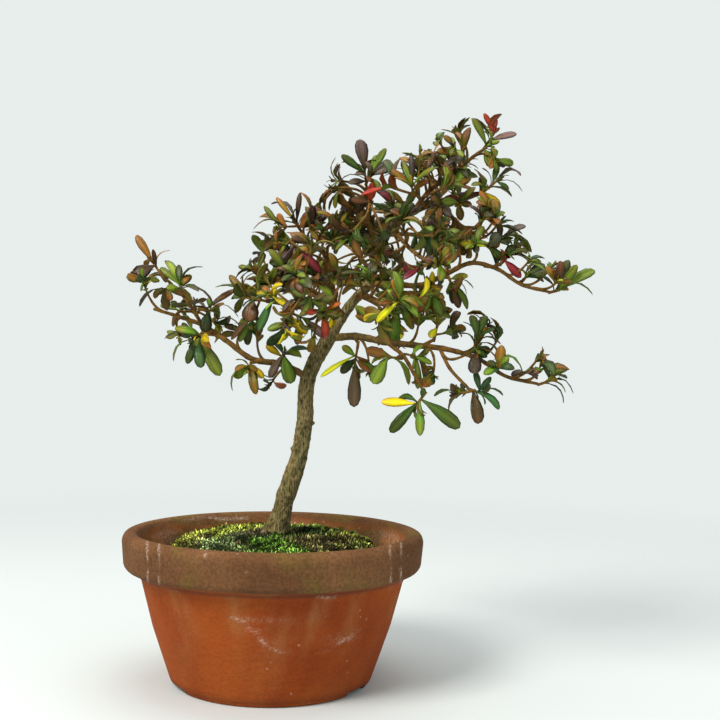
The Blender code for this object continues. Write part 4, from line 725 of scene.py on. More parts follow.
@dataclass
class Surface:
    """Closed shapes made as lofts of closed rings, with a pole at each end. All lengths are millimetres."""

    points: Array
    faces: list
    uv: Array
    tints: dict[str, Array] = field(default_factory=dict)
    finishes: list = field(default_factory=lambda: [0, 0, 0])

    @staticmethod
    def loft(rings: Array, along: Array, poles: tuple[Array, Array] | None = None, **tints: Array) -> "Surface":
        """Joins rings into closed skins: point (i, j) of a shape is its j-th point on ring i, and j wraps round.

        Args:
            rings: places, as (shapes, rings, points on a ring, 3).
            along: the UV's first coordinate at each ring, as (shapes, rings) or (rings,).
            poles: the points that close both ends, each (shapes, 3). Left out, they are the end rings' middles.
            tints: colours of four numbers, each for a whole shape (shapes, 4) or for a ring (shapes, rings, 4).

        Returns:
            The surface, its faces turned outwards.
        """
        shapes, rows, sides, _ = rings.shape
        first, last = poles if poles else (rings[:, 0].mean(1), rings[:, -1].mean(1))
        points = np.concatenate([rings.reshape(shapes, -1, 3), first[:, None], last[:, None]], axis=1)
        grid = np.arange(rows * sides).reshape(rows, sides)
        turned = np.roll(grid, -1, axis=1)
        foot, head = grid[0] * 0 + rows * sides, grid[0] * 0 + rows * sides + 1
        here, there = np.arange(sides) / sides, np.arange(1, sides + 1) / sides
        middle = (here + there) / 2
        run = np.broadcast_to(along, (shapes, rows))[..., None]
        low, high, start, end = run[:, :-1], run[:, 1:], run[:, 0], run[:, -1]
        # Each kind of face: the number, the run and the turn of each of its corners
        kinds = (
            ((grid[:-1], low, here), (turned[:-1], low, there), (turned[1:], high, there), (grid[1:], high, here)),
            ((turned[0], start, there), (grid[0], start, here), (foot, start, middle)),
            ((grid[-1], end, here), (turned[-1], end, there), (head, end, middle)))
        faces, uv, volume = [], [], 0.0
        for corners in kinds:
            face = np.stack([number for number, _, _ in corners], axis=-1).reshape(-1, len(corners))
            uv.append(np.stack([np.stack(np.broadcast_arrays(u, v), axis=-1) for _, u, v in corners], axis=-2))
            for k in range(1, len(corners) - 1):
                one, two, three = (points[0][face[:, corner]] for corner in (0, k, k + 1))
                volume += np.einsum("ij,ij->", one, np.cross(two, three))
            faces.append((face + np.arange(shapes)[:, None, None] * points.shape[1]).reshape(-1, len(corners)))
        way = -1 if volume < 0 else 1
        spread = {}
        for name, tint in tints.items():
            tint = np.asarray(tint, float)
            if tint.ndim == 2:
                tint = np.broadcast_to(tint[:, None], (shapes, rows, 4))
            full = np.repeat(tint, sides, axis=1).reshape(shapes, -1, 4)
            spread[name] = np.concatenate([full, tint[:, :1], tint[:, -1:]], axis=1).reshape(-1, 4)
        uv = np.concatenate([part[..., ::way, :].reshape(-1, 2) for part in uv])
        return Surface(points.reshape(-1, 3), [face[:, ::way] for face in faces], uv, spread)

    @staticmethod
    def joined(surfaces: Sequence["Surface"]) -> "Surface":
        """Several surfaces as one, their faces in the same order as their UVs."""
        faces, finishes, start = [], [], 0
        for surface in surfaces:
            faces += [part + start for part in surface.faces]
            finishes += surface.finishes
            start += len(surface.points)
        names = set.intersection(*(set(surface.tints) for surface in surfaces))
        tints = {name: np.concatenate([surface.tints[name] for surface in surfaces]) for name in sorted(names)}
        return Surface(np.concatenate([surface.points for surface in surfaces]), faces,
                       np.concatenate([surface.uv for surface in surfaces]), tints, finishes)

    def mesh(self, name: str) -> bpy.types.Mesh:
        """The surface as a mesh in metres."""
        mesh = bpy.data.meshes.new(name)
        mesh.from_pydata((self.points * MM).tolist(), [], [face for part in self.faces for face in part.tolist()])
        return mesh

    def piece(self, name: str, finishes: Sequence[Material], slot: str, *nodes: str) -> bpy.types.Object:
        """Makes the piece, lets it ride on the plant's body, and has it stand for the nodes named.

        Args:
            name: the piece's name.
            finishes: its finishes, which the surface's faces name by number.
            slot: not used.
            nodes: the solids that it stands for.

        Returns:
            The piece's object, at the origin.
        """
        mesh = self.mesh(name)
        mesh.uv_layers.new(name="surface").data.foreach_set("uv", self.uv.astype(np.float32).ravel())
        for title, tint in self.tints.items():
            layer = mesh.attributes.new(title, "FLOAT_COLOR", "POINT")
            layer.data.foreach_set("color", tint.astype(np.float32).ravel())
        mesh.polygons.foreach_set("use_smooth", np.ones(len(mesh.polygons), bool))
        for finish in finishes:
            mesh.materials.append(finish)
        numbers = np.repeat(self.finishes, [len(part) for part in self.faces])
        mesh.polygons.foreach_set("material_index", numbers.astype(np.int32))
        mesh.update()
        made = placed(name, mesh)
        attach(made, "root")
        if nodes:
            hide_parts(*nodes)
        triangles = sum(len(part) * (part.shape[1] - 2) for part in self.faces)
        log.info("%s: %d triangles", name, triangles)
        return made


def frames(path: Array) -> tuple[Array, Array]:
    """Two unit vectors square to a path at each row, from the axis that the path runs along least."""
    along = unit(np.gradient(path, axis=0))
    axis = np.eye(3)[np.abs(along).max(0).argmin()]
    first = unit(np.cross(along, axis))
    return first, np.cross(along, first)


def tube(rows: Array, sides: int, relief: Array | None = None, tint: Array | None = None) -> Surface:
    """A round stem: each point is the path's place plus radius times (1 + relief), turned round the path.

    Args:
        rows: the path, with the radius in the fourth column.
        sides: points on each ring.
        relief: how far each point stands out, as a share of the radius, (rows, sides).
        tint: the colour of each row, (rows, 4).

    Returns:
        The closed tube, its ends rounded off.
    """
    path, radius = rows[:, :3], rows[:, 3]
    first, second = frames(path)
    angle = np.arange(sides) * 2 * math.pi / sides
    out = first[:, None] * np.cos(angle)[None, :, None] + second[:, None] * np.sin(angle)[None, :, None]
    reach = radius[:, None] * (1 + (relief if relief is not None else 0)) * np.ones((1, sides))
    rings = path[:, None] + out * reach[..., None]
    along = unit(np.gradient(path, axis=0))
    poles = ((path[0] - along[0] * radius[0] * 0.35)[None], (path[-1] + along[-1] * radius[-1] * 0.45)[None])
    tint = np.tile([0.0, 0, 0, 1], (len(rows), 1)) if tint is None else tint
    return Surface.loft(rings[None], np.linspace(0, 1, len(rows)), poles, tint=tint[None])


def waves(draw: np.random.Generator, u: Array, v: Array, scale: float, count: int, whole: bool = False) -> Array:
    """Soft unevenness between about -1 and 1: a sum of sines of u and v with drawn turns and starts.

    Args:
        draw: where the random numbers come from.
        u: one coordinate, in radians where whole is set.
        v: the other coordinate.
        scale: the highest number of waves to a unit.
        count: how many sines.
        whole: whether u wraps round after a full turn, so its wave counts are whole numbers.

    Returns:
        The height at each (u, v).
    """
    total = np.zeros(np.broadcast(u, v).shape)
    for _ in range(count):
        across = draw.integers(1, 7) if whole else draw.uniform(-scale, scale)
        total += np.sin(across * u + draw.uniform(-scale, scale) * v + draw.uniform(0, 2 * math.pi))
    return total / math.sqrt(count)


class Tree:
    """A node tree under construction, which adds nodes and joins them in one call."""

    def __init__(self, tree: NodeTree) -> None:
        """Takes the tree to add to."""
        self.tree = tree

    def fill(self, socket: Socket, value: object) -> None:
        """Joins a socket to another one, or gives it a value, where a colour has three numbers."""
        if isinstance(value, Socket):
            self.tree.links.new(value, socket)
        else:
            socket.default_value = (*value, 1) if socket.type == "RGBA" else value

    def add(self, kind: str, inputs: dict | None = None, **settings: object) -> bpy.types.Node:
        """Adds a shader node.

        Args:
            kind: the node's type, without ShaderNode.
            inputs: sockets by name or number, each given a value or joined to another socket.
            settings: the node's own settings.

        Returns:
            The node.
        """
        made = self.tree.nodes.new("ShaderNode" + kind)
        for name, value in settings.items():
            setattr(made, name, value)
        for name, value in (inputs or {}).items():
            self.fill(made.inputs[name], value)
        return made

    def mix(self, share: object, low: object, high: object, blend: str = "MIX") -> Socket:
        """A blend of two colours by a share, each a value or a socket."""
        return self.add("Mix", {0: share, 6: low, 7: high}, data_type="RGBA", blend_type=blend).outputs[2]

    def times(self, first: object, second: object) -> Socket:
        """The product of two numbers."""
        return self.maths("MULTIPLY", first, second)

    def tinge(self, mask: object, share: float, colour: object, other: object) -> Socket:
        """A colour with another one over it, by a share of a mask."""
        return self.mix(self.times(mask, share), colour, other)

    def shade(self, colour: object, by: object) -> Socket:
        """A colour multiplied by another one."""
        return self.mix(1.0, colour, by, "MULTIPLY")

    def maths(self, operation: str, first: object, second: object = 0.0) -> Socket:
        """A sum, product or other operation on two numbers, each a value or a socket."""
        return self.add("Math", {0: first, 1: second}, operation=operation).outputs[0]

    def ramp(self, value: object, low: object, high: object, to: tuple = (0.0, 1.0)) -> Socket:
        """A number carried smoothly from one range to another, and held at its ends."""
        inputs = {"Value": value, "From Min": low, "From Max": high, "To Min": to[0], "To Max": to[1]}
        return self.add("MapRange", inputs, interpolation_type="SMOOTHSTEP").outputs["Result"]


def new_effect(name: str, inputs: dict[str, object], *outputs: str) -> tuple:
    """Starts a shader node group.

    Args:
        name: the effect's name.
        inputs: each input's usual value: a number, a colour of four numbers, or none for a place.
        outputs: the outputs' names. Colour is a colour, and the others are numbers.

    Returns:
        The group's tree under construction, its inputs and its outputs.
    """
    effect = bpy.data.node_groups.new(name, "ShaderNodeTree")
    for title, value in inputs.items():
        kind = {float: "Float", tuple: "Color"}.get(type(value), "Vector")
        made = effect.interface.new_socket(title, in_out="INPUT", socket_type="NodeSocket" + kind)
        if value is not None:
            made.default_value = value
    for title in outputs:
        kind = "Color" if title == "Colour" else "Float"
        effect.interface.new_socket(title, in_out="OUTPUT", socket_type="NodeSocket" + kind)
    return Tree(effect), effect.nodes.new("NodeGroupInput").outputs, effect.nodes.new("NodeGroupOutput").inputs


class Effects:
    """The effects that several finishes share, each built once."""

    def __init__(self) -> None:
        """Builds the effects."""
        self.mottle = self.build_mottle()
        self.spots = self.build_spots()
        self.relief = self.build_relief()

    @staticmethod
    def build_mottle() -> NodeTree:
        """Cloudy patches: layered noise, carried between two levels, that blends two colours."""
        inputs = {"Vector": None, "Scale": 40.0, "Detail": 4.0, "Low": 0.4, "High": 0.6, "First": (0, 0, 0, 1),
                  "Second": (1, 1, 1, 1)}
        tree, given, out = new_effect("mottle", inputs, "Colour", "Mask")
        noise = tree.add("TexNoise", {title: given[title] for title in ("Vector", "Scale", "Detail")})
        share = tree.ramp(noise.outputs["Fac"], given["Low"], given["High"])
        tree.fill(out["Colour"], tree.mix(share, given["First"], given["Second"]))
        tree.fill(out["Mask"], share)
        return tree.tree

    @staticmethod
    def build_spots() -> NodeTree:
        """Round spots strewn about: one in each cell, of a given size, with a soft edge."""
        inputs = {"Vector": None, "Scale": 100.0, "Size": 0.3, "Softness": 0.1}
        tree, given, out = new_effect("spots", inputs, "Mask")
        cells = tree.add("TexVoronoi", {"Vector": given["Vector"], "Scale": given["Scale"]})
        edge = tree.maths("ADD", given["Size"], given["Softness"])
        tree.fill(out["Mask"], tree.ramp(cells.outputs["Distance"], edge, given["Size"]))
        return tree.tree

    @staticmethod
    def build_relief() -> NodeTree:
        """Rough relief: coarse noise with fine noise on it, stretched upright by the given share."""
        inputs = {"Vector": None, "Scale": 100.0, "Upright": 1.0, "Fine": 0.3}
        tree, given, out = new_effect("relief", inputs, "Height")
        stretch = tree.add("CombineXYZ", {0: 1.0, 1: 1.0, 2: given["Upright"]}).outputs[0]
        place = tree.add("VectorMath", {0: given["Vector"], 1: stretch}, operation="MULTIPLY").outputs[0]
        coarse = tree.add("TexNoise", {"Vector": place, "Scale": given["Scale"], "Detail": 5.0}).outputs["Fac"]
        finer = tree.times(given["Scale"], 5.0)
        fine = tree.add("TexNoise", {"Vector": place, "Scale": finer, "Detail": 2.0}).outputs["Fac"]
        tree.fill(out["Height"], tree.maths("ADD", coarse, tree.times(fine, given["Fine"])))
        return tree.tree


class Finish:
    """A finish under construction: a Principled BSDF and the tree that feeds it."""

    def __init__(self, name: str, roughness: float, specular: float, effects: Effects | None = None) -> None:
        """Starts a finish.

        Args:
            name: its name.
            roughness: how rough it is where nothing feeds that.
            specular: its specular level.
            effects: the shared effects, where it has any.
        """
        self.material = bpy.data.materials.new(name)
        self.material.use_nodes = True
        self.tree = Tree(self.material.node_tree)
        self.shader = self.material.node_tree.nodes["Principled BSDF"]
        self.shader.inputs["Roughness"].default_value = roughness
        self.shader.inputs["Specular IOR Level"].default_value = specular
        self.place = self.tree.add("TexCoord").outputs["Object"]
        self.effects = effects

    def feed(self, socket: str, value: object) -> None:
        """Gives one of the shader's sockets a value, or joins it to another socket."""
        self.tree.fill(self.shader.inputs[socket], value)

    def bump(self, height: Socket, distance: float) -> None:
        """Raises the surface by a height times this distance in metres."""
        made = self.tree.add("Bump", {"Height": height, "Distance": distance, "Strength": 1.0})
        self.feed("Normal", made.outputs["Normal"])

    def attribute(self, name: str) -> bpy.types.NodeOutputs:
        """The outputs of the colour attribute of this name."""
        return self.tree.add("Attribute", attribute_name=name).outputs

    def stretched(self, share: float) -> Socket:
        """The object's own place with its height cut to a share, which draws patches out upright."""
        return self.tree.add("Mapping", {"Vector": self.place, "Scale": (1.0, 1.0, share)}).outputs[0]

    def cloudy(self, scale: float, detail: float, low: float, high: float, *colours: Colour,
               place: Socket | None = None) -> Socket:
        """Cloudy patches of two colours, or their mask where no colours are given.

        Args:
            scale: how many patches there are to a metre.
            detail: how many finer layers the noise has.
            low: the level of the noise that shows the first colour.
            high: the level that shows the second.
            colours: the two colours.
            place: what the patches lie on. Left out, it is the object's own place.

        Returns:
            The colour or the mask.
        """
        inputs = {"Vector": place or self.place, "Scale": scale, "Detail": detail, "Low": low, "High": high}
        inputs |= dict(zip(("First", "Second"), colours))
        made = self.tree.add("Group", inputs, node_tree=self.effects.mottle)
        return made.outputs["Colour" if colours else "Mask"]

    def spotted(self, scale: float, size: float, softness: float, place: object = None) -> Socket:
        """The mask of round spots, with this many cells to a metre, and their size and soft edge in cells."""
        inputs = {"Vector": place or self.place, "Scale": scale, "Size": size, "Softness": softness}
        return self.tree.add("Group", inputs, node_tree=self.effects.spots).outputs["Mask"]

    def rough(self, scale: float, upright: float, fine: float) -> Socket:
        """The height of rough relief of a scale, stretched upright, with a share of finer relief on it."""
        inputs = {"Vector": self.place, "Scale": scale, "Upright": upright, "Fine": fine}
        return self.tree.add("Group", inputs, node_tree=self.effects.relief).outputs["Height"]


@dataclass(frozen=True)
class LeafFinish:
    """Leathery leaves: a tint for each leaf and one for its outer part, with a pale rib and side veins."""

    vein_scale: float = 52.0
    rib_width: float = 0.035
    roughness: float = 0.34
    pale: Colour = (1.9, 1.7, 1.3)
    under: Colour = (0.19, 0.17, 0.035)
    margin: Colour = (0.45, 0.36, 0.3)

    def build(self, effects: Effects) -> Material:
        """Builds the finish. The UV runs 0 to 1 from root to tip and round the leaf, upper side first."""
        finish = Finish("leaf", self.roughness, 0.21, effects)
        tree = finish.tree
        main, outer = finish.attribute("tint"), finish.attribute("flush")
        uv = tree.add("SeparateXYZ", {0: tree.add("TexCoord").outputs["UV"]})
        along, around = uv.outputs[0], uv.outputs[1]
        patches = finish.cloudy(210.0, 4.0, 0.38, 0.62)
        reach = tree.maths("ADD", tree.ramp(along, 0.25, 1.0), tree.times(patches, 0.6))
        share = tree.times(tree.ramp(reach, 0.35, 1.15), outer["Alpha"])
        colour = tree.mix(share, main["Color"], outer["Color"])
        off_edge = tree.maths("ABSOLUTE", tree.maths("SUBTRACT", around, 0.5))
        off_rib = tree.maths("ABSOLUTE", tree.maths("SUBTRACT", off_edge, 0.25))
        rib = tree.ramp(tree.ramp(off_rib, self.rib_width, 0.25, (1.0, 0.0)), 0.86, 1.0)
        slant = tree.maths("ADD", along, tree.times(off_rib, -1.1))
        veins = tree.ramp(tree.maths("SINE", tree.times(slant, self.vein_scale)), 0.75, 1.0)
        pale = tree.shade(colour, self.pale)
        colour = tree.tinge(veins, 0.25, tree.tinge(rib, 0.6, colour, pale), pale)
        under = tree.ramp(around, 0.495, 0.505)
        colour = tree.tinge(under, 0.8, colour, tree.mix(0.3, colour, self.under))
        colour = tree.tinge(tree.ramp(off_rib, 0.19, 0.25), 0.35, colour, tree.shade(colour, self.margin))
        finish.feed("Base Color", colour)
        fine = tree.add("TexNoise", {"Vector": finish.place, "Scale": 900.0, "Detail": 2.0}).outputs["Fac"]
        rough = tree.ramp(fine, 0.3, 0.7, (self.roughness - 0.08, self.roughness + 0.1))
        finish.feed("Roughness", tree.maths("ADD", rough, tree.times(under, 0.2)))
        sunk = tree.maths("ADD", tree.times(rib, 0.8), tree.times(veins, 0.4))
        finish.bump(tree.maths("SUBTRACT", tree.times(fine, 0.4), sunk), 0.00012)
        return finish.material


@dataclass(frozen=True)
class BarkFinish:
    """Bark: brown with olive-grey flakes and pale flecks where old, smooth and orange-brown where young."""

    old: tuple[Colour, Colour] = ((0.055, 0.045, 0.016), (0.285, 0.232, 0.105))
    tone: tuple[Colour, Colour] = ((0.75, 0.78, 0.65), (1.2, 1.1, 1.0))
    fleck: Colour = (0.42, 0.36, 0.22)
    young: tuple[Colour, Colour] = ((0.240, 0.118, 0.024), (0.105, 0.060, 0.016))

    def build(self, effects: Effects) -> Material:
        """Builds the finish. The tint's red is how old the wood is, from 0 to 1."""
        finish = Finish("bark", 0.85, 0.15, effects)
        tree = finish.tree
        age = tree.add("SeparateColor", {0: finish.attribute("tint")["Color"]}).outputs[0]
        grain = finish.stretched(0.28)
        old = finish.cloudy(1150.0, 6.0, 0.30, 0.66, *self.old, place=grain)
        old = tree.shade(old, finish.cloudy(150.0, 3.0, 0.35, 0.65, *self.tone, place=grain))
        old = tree.tinge(finish.spotted(330.0, 0.12, 0.12, grain), 0.45, old, self.fleck)
        young = finish.cloudy(300.0, 3.0, 0.35, 0.65, *self.young)
        finish.feed("Base Color", tree.mix(tree.ramp(age, 0.25, 0.75), young, old))
        finish.bump(tree.times(finish.rough(620.0, 0.4, 0.25), tree.ramp(age, 0.0, 0.8, (0.2, 1.0))), 0.0018)
        return finish.material


@dataclass(frozen=True)
class ClayFinish:
    """Unglazed clay: an orange body, a weathered brown band round the rim, a redder inside, and lime marks."""

    body: tuple[Colour, Colour] = ((0.330, 0.072, 0.0115), (0.235, 0.042, 0.0075))
    # Paler clay, mixed in more towards the top: partly weathering, partly painted light on the upper body
    weathering_and_light: Colour = (0.34, 0.135, 0.045)
    grain: tuple[Colour, Colour] = ((0.92, 0.9, 0.88), (1.08, 1.08, 1.08))
    band: tuple[Colour, Colour] = ((0.182, 0.084, 0.036), (0.116, 0.050, 0.021))
    speckle: tuple[Colour, Colour] = ((0.78, 0.80, 0.76), (1.24, 1.2, 1.16))
    algae: Colour = (0.145, 0.100, 0.022)
    inside: tuple[Colour, Colour] = ((0.300, 0.108, 0.030), (0.125, 0.070, 0.022))
    lime: Colour = (0.52, 0.38, 0.29)
    # Dark colour for grime at the foot and for painted shade under the band, round the moss and in the chip's pit
    dirt_and_shade: Colour = (0.045, 0.022, 0.015)

    def build(self, effects: Effects) -> Material:
        """Builds the finish. The tint holds, in turn, the band's share, the inside's, marks, and grime with painted
        shade.
        """
        finish = Finish("terracotta", 0.85, 0.12, effects)
        tree, tint = finish.tree, finish.attribute("tint")
        band_share, inside_share, marks = tree.add("SeparateColor", {0: tint["Color"]}).outputs
        height = tree.add("SeparateXYZ", {0: finish.place}).outputs[2]
        # Paler patches, stronger higher up on the body: partly the clay's own weathering, partly painted light on the
        # upper body
        paler_top_share = finish.cloudy(55.0, 8.0, 0.46, 0.72, place=finish.stretched(0.3))
        paler_top_share = tree.times(paler_top_share, tree.ramp(height, 0.015, 0.066, (0.15, 0.75)))
        body_paler_on_top = tree.mix(paler_top_share, finish.cloudy(16.0, 5.0, 0.35, 0.7, *self.body), self.weathering_and_light)
        body_paler_on_top = tree.shade(body_paler_on_top, finish.cloudy(560.0, 4.0, 0.3, 0.7, *self.grain))
        band = finish.cloudy(22.0, 4.0, 0.3, 0.7, *self.band)
        band = tree.tinge(finish.cloudy(31.0, 6.0, 0.5, 0.66), 0.55, band, self.algae)
        band = tree.shade(band, finish.cloudy(620.0, 5.0, 0.3, 0.7, *self.speckle))
        colour = tree.mix(band_share, body_paler_on_top, band)
        colour = tree.mix(inside_share, colour, finish.cloudy(70.0, 6.0, 0.38, 0.62, *self.inside))
        mark = tree.times(marks, tree.maths("ADD", 0.35, finish.cloudy(760.0, 6.0, 0.34, 0.72)))
        colour = tree.mix(tree.ramp(mark, 0.05, 1.2), colour, self.lime)
        colour = tree.tinge(finish.spotted(95.0, 0.05, 0.03), 0.35, colour, self.lime)
        # The tint's alpha darkens towards that colour: grime at the foot, painted shade under the band's ledge, soil
        # stain with painted shade round the moss, and painted shade in the chip's pit
        finish.feed("Base Color", tree.tinge(tint["Alpha"], 0.75, colour, self.dirt_and_shade))
        finish.bump(finish.rough(160.0, 2.2, 0.5), 0.0004)
        return finish.material


@dataclass(frozen=True)
class GrainFinish:
    """Moss or soil: each tuft or granule has its own tint, with fine specks and relief on it.

    The specks are given as patches are (scale, detail, low and high), with the two tones that multiply the
    tint, and the relief by its scale, its stretch and its finer share, with its depth in metres.
    """

    name: str
    roughness: float
    specular: float
    specks: tuple
    tones: tuple[Colour, Colour]
    relief: tuple
    depth: float

    def build(self, effects: Effects) -> Material:
        """Builds the finish from the tints."""
        finish = Finish(self.name, self.roughness, self.specular, effects)
        tint = finish.attribute("tint")["Color"]
        finish.feed("Base Color", finish.tree.shade(tint, finish.cloudy(*self.specks, *self.tones)))
        finish.bump(finish.rough(*self.relief), self.depth)
        return finish.material


MOSS = GrainFinish("moss", 0.9, 0.08, specks=(700.0, 3.0, 0.35, 0.65), tones=((0.45, 0.45, 0.45), (1.35, 1.35, 1.35)),
                   relief=(900.0, 1.0, 0.6), depth=0.0012)
SOIL = GrainFinish("soil", 0.95, 0.15, specks=(600.0, 4.0, 0.3, 0.7), tones=((0.6, 0.6, 0.6), (1.3, 1.25, 1.2)),
                   relief=(800.0, 1.0, 0.5), depth=0.0008)


@dataclass(frozen=True)
class NetFinish:
    """The black plastic of the nets over the drain holes, dulled by dust."""

    tones: tuple[Colour, Colour] = ((0.02, 0.02, 0.02), (0.09, 0.07, 0.05))

    def build(self, effects: Effects) -> Material:
        """Builds the finish."""
        finish = Finish("net", 0.55, 0.4, effects)
        finish.feed("Base Color", finish.cloudy(300.0, 4.0, 0.45, 0.7, *self.tones))
        return finish.material


class Tints(NamedTuple):
    """A leaf's colours: all of it, its flushed outer part, and how strong the flush is."""

    main: Colour
    flush: Colour
    share: float


LEAF_TINTS = {
    "g": Tints((0.085, 0.145, 0.010), (0.150, 0.100, 0.014), 0.40),
    "o": Tints((0.140, 0.108, 0.009), (0.190, 0.062, 0.012), 0.70),
    "d": Tints((0.030, 0.064, 0.011), (0.062, 0.042, 0.014), 0.50),
    "l": Tints((0.150, 0.230, 0.024), (0.200, 0.200, 0.020), 0.30),
    "y": Tints((0.430, 0.380, 0.005), (0.430, 0.270, 0.006), 0.45),
    "n": Tints((0.560, 0.180, 0.008), (0.500, 0.095, 0.008), 0.60),
    "r": Tints((0.300, 0.045, 0.014), (0.240, 0.024, 0.012), 0.80),
    "c": Tints((0.115, 0.010, 0.016), (0.080, 0.009, 0.012), 0.60),
    "p": Tints((0.070, 0.046, 0.030), (0.100, 0.068, 0.062), 0.80),
    "z": Tints((0.195, 0.088, 0.018), (0.150, 0.058, 0.013), 0.70),
    "k": Tints((0.056, 0.031, 0.010), (0.085, 0.036, 0.013), 0.80),
    "t": Tints((0.030, 0.090, 0.026), (0.040, 0.080, 0.018), 0.40),
    "b": Tints((0.105, 0.084, 0.036), (0.092, 0.066, 0.040), 0.50),
    "m": Tints((0.046, 0.110, 0.012), (0.075, 0.088, 0.010), 0.40),
}


@dataclass
class Leaves:
    """Leaves as thin closed lofts: rings of eight points round the rib, four to the upper side and four below.

    Pairs of numbers are the ends of what each leaf draws from.
    """

    places: tuple = (0.0, 0.17, 0.4, 0.62, 0.82, 0.95)
    thickness: float = 0.34
    petiole: float = 0.5
    bend: tuple = (1.0, 1.9)
    droop: tuple = (-0.02, 0.06)
    twist: tuple = (-0.35, 0.35)
    fold: tuple = (0.05, 0.5)
    curl: tuple = (0.0, 0.4)
    margin_wave: tuple = (0.0, 0.1)
    light_spread: float = 0.28
    hue_spread: float = 0.09
    seed: int = 11

    def __post_init__(self) -> None:
        """Starts the draws."""
        self.draw = np.random.default_rng(self.seed)

    def surface(self, blades: Sequence[Blade]) -> Surface:
        """Makes the leaves.

        The rib is the chord from root to tip, plus arch times 4u(1-u), less a droop of u to the third. The half
        width is u^a (1-u)^b, made one at its widest. A point across the leaf at v stands fold |v| - curl v^2
        half widths off the rib, with a wave of the margin, and half the thickness times sqrt(1 - v^2) above or
        below. The side turns by the twist as u grows.

        Args:
            blades: the leaves.

        Returns:
            Their surface, with tints tint and flush.
        """
        count, draw = len(blades), self.draw
        root, tip, normal = (np.array([getattr(blade, part) for blade in blades]) for part in ("root", "tip", "normal"))
        arch = np.array([blade.arch for blade in blades])[:, None] * draw.uniform(*self.bend, (count, 1))
        outlines = np.array([blade.outline.value for blade in blades])
        width = (np.array([blade.width for blade in blades]) * outlines[:, 2])[:, None]
        u = np.array(self.places)[None]
        a, b = outlines[:, :1], outlines[:, 1:2]
        widest = a / (a + b)
        half = width / 2 * (u**a * (1 - u) ** b) / (widest**a * (1 - widest) ** b)
        half = np.maximum(half, self.petiole * (1 - u))
        chord = tip - root
        length = np.linalg.norm(chord, axis=1)[:, None]
        droop = draw.uniform(*self.droop, (count, 1))
        lift = (arch * 4 * u * (1 - u) - droop * u**3) * length
        slope_lift = (arch * 4 * (1 - 2 * u) - 3 * droop * u**2) * length
        rib = root[:, None] + chord[:, None] * u[..., None] + normal[:, None] * lift[..., None]
        slope = chord[:, None] + normal[:, None] * slope_lift[..., None]
        side = unit(np.cross(chord, normal))[:, None] * np.ones((1, u.shape[1], 1))
        up = unit(np.cross(side, slope))
        up *= np.sign((up * normal[:, None]).sum(-1, keepdims=True))
        twist = draw.uniform(*self.twist, (count, 1)) * u
        side, up = (side * np.cos(twist)[..., None] + up * np.sin(twist)[..., None],
                    up * np.cos(twist)[..., None] - side * np.sin(twist)[..., None])
        v = np.array([-1, -0.5, 0, 0.5, 1, 0.5, 0, -0.5])[None, None]
        above = np.array([0, 1, 1, 1, 0, -1, -1, -1])[None, None]
        fold = draw.uniform(*self.fold, (count, 1, 1))
        curl = draw.uniform(*self.curl, (count, 1, 1))
        wave = draw.uniform(*self.margin_wave, (count, 1, 1)) * np.sin(
            draw.uniform(5, 11, (count, 1, 1)) * u[..., None] + draw.uniform(0, 6.3, (count, 1, 1)) + v * 1.3) * v**2
        thick = (self.thickness + 0.25 * (1 - u[..., None]) ** 4) / 2
        height = half[..., None] * (fold * np.abs(v) - curl * v**2 + wave) + thick * np.sqrt(1 - v**2) * above
        rings = rib[:, :, None] + side[:, :, None] * (half[..., None] * v)[..., None]
        rings = rings + up[:, :, None] * height[..., None]
        ends = root + 0.0, tip - normal * droop * length
        tint, flush = self.tints(blades)
        return Surface.loft(rings, u, ends, tint=tint, flush=flush)

    def tints(self, blades: Sequence[Blade]) -> tuple[Array, Array]:
        """Each leaf's two tints, drawn about those of its letter. The flush's strength is its fourth number."""
        tints = [LEAF_TINTS[blade.colour] for blade in blades]
        main = np.array([(*tint.main, 1) for tint in tints])
        flush = np.array([(*tint.flush, tint.share) for tint in tints])
        light = np.exp(self.draw.normal(0, self.light_spread, (len(blades), 1)))
        hue = np.exp(self.draw.normal(0, self.hue_spread, (len(blades), 3)))
        main[:, :3] *= light * hue
        flush[:, :3] *= light * hue
        flush[:, 3] = np.clip(flush[:, 3] + self.draw.uniform(-0.3, 0.3, len(blades)), 0, 1)
        return main, flush


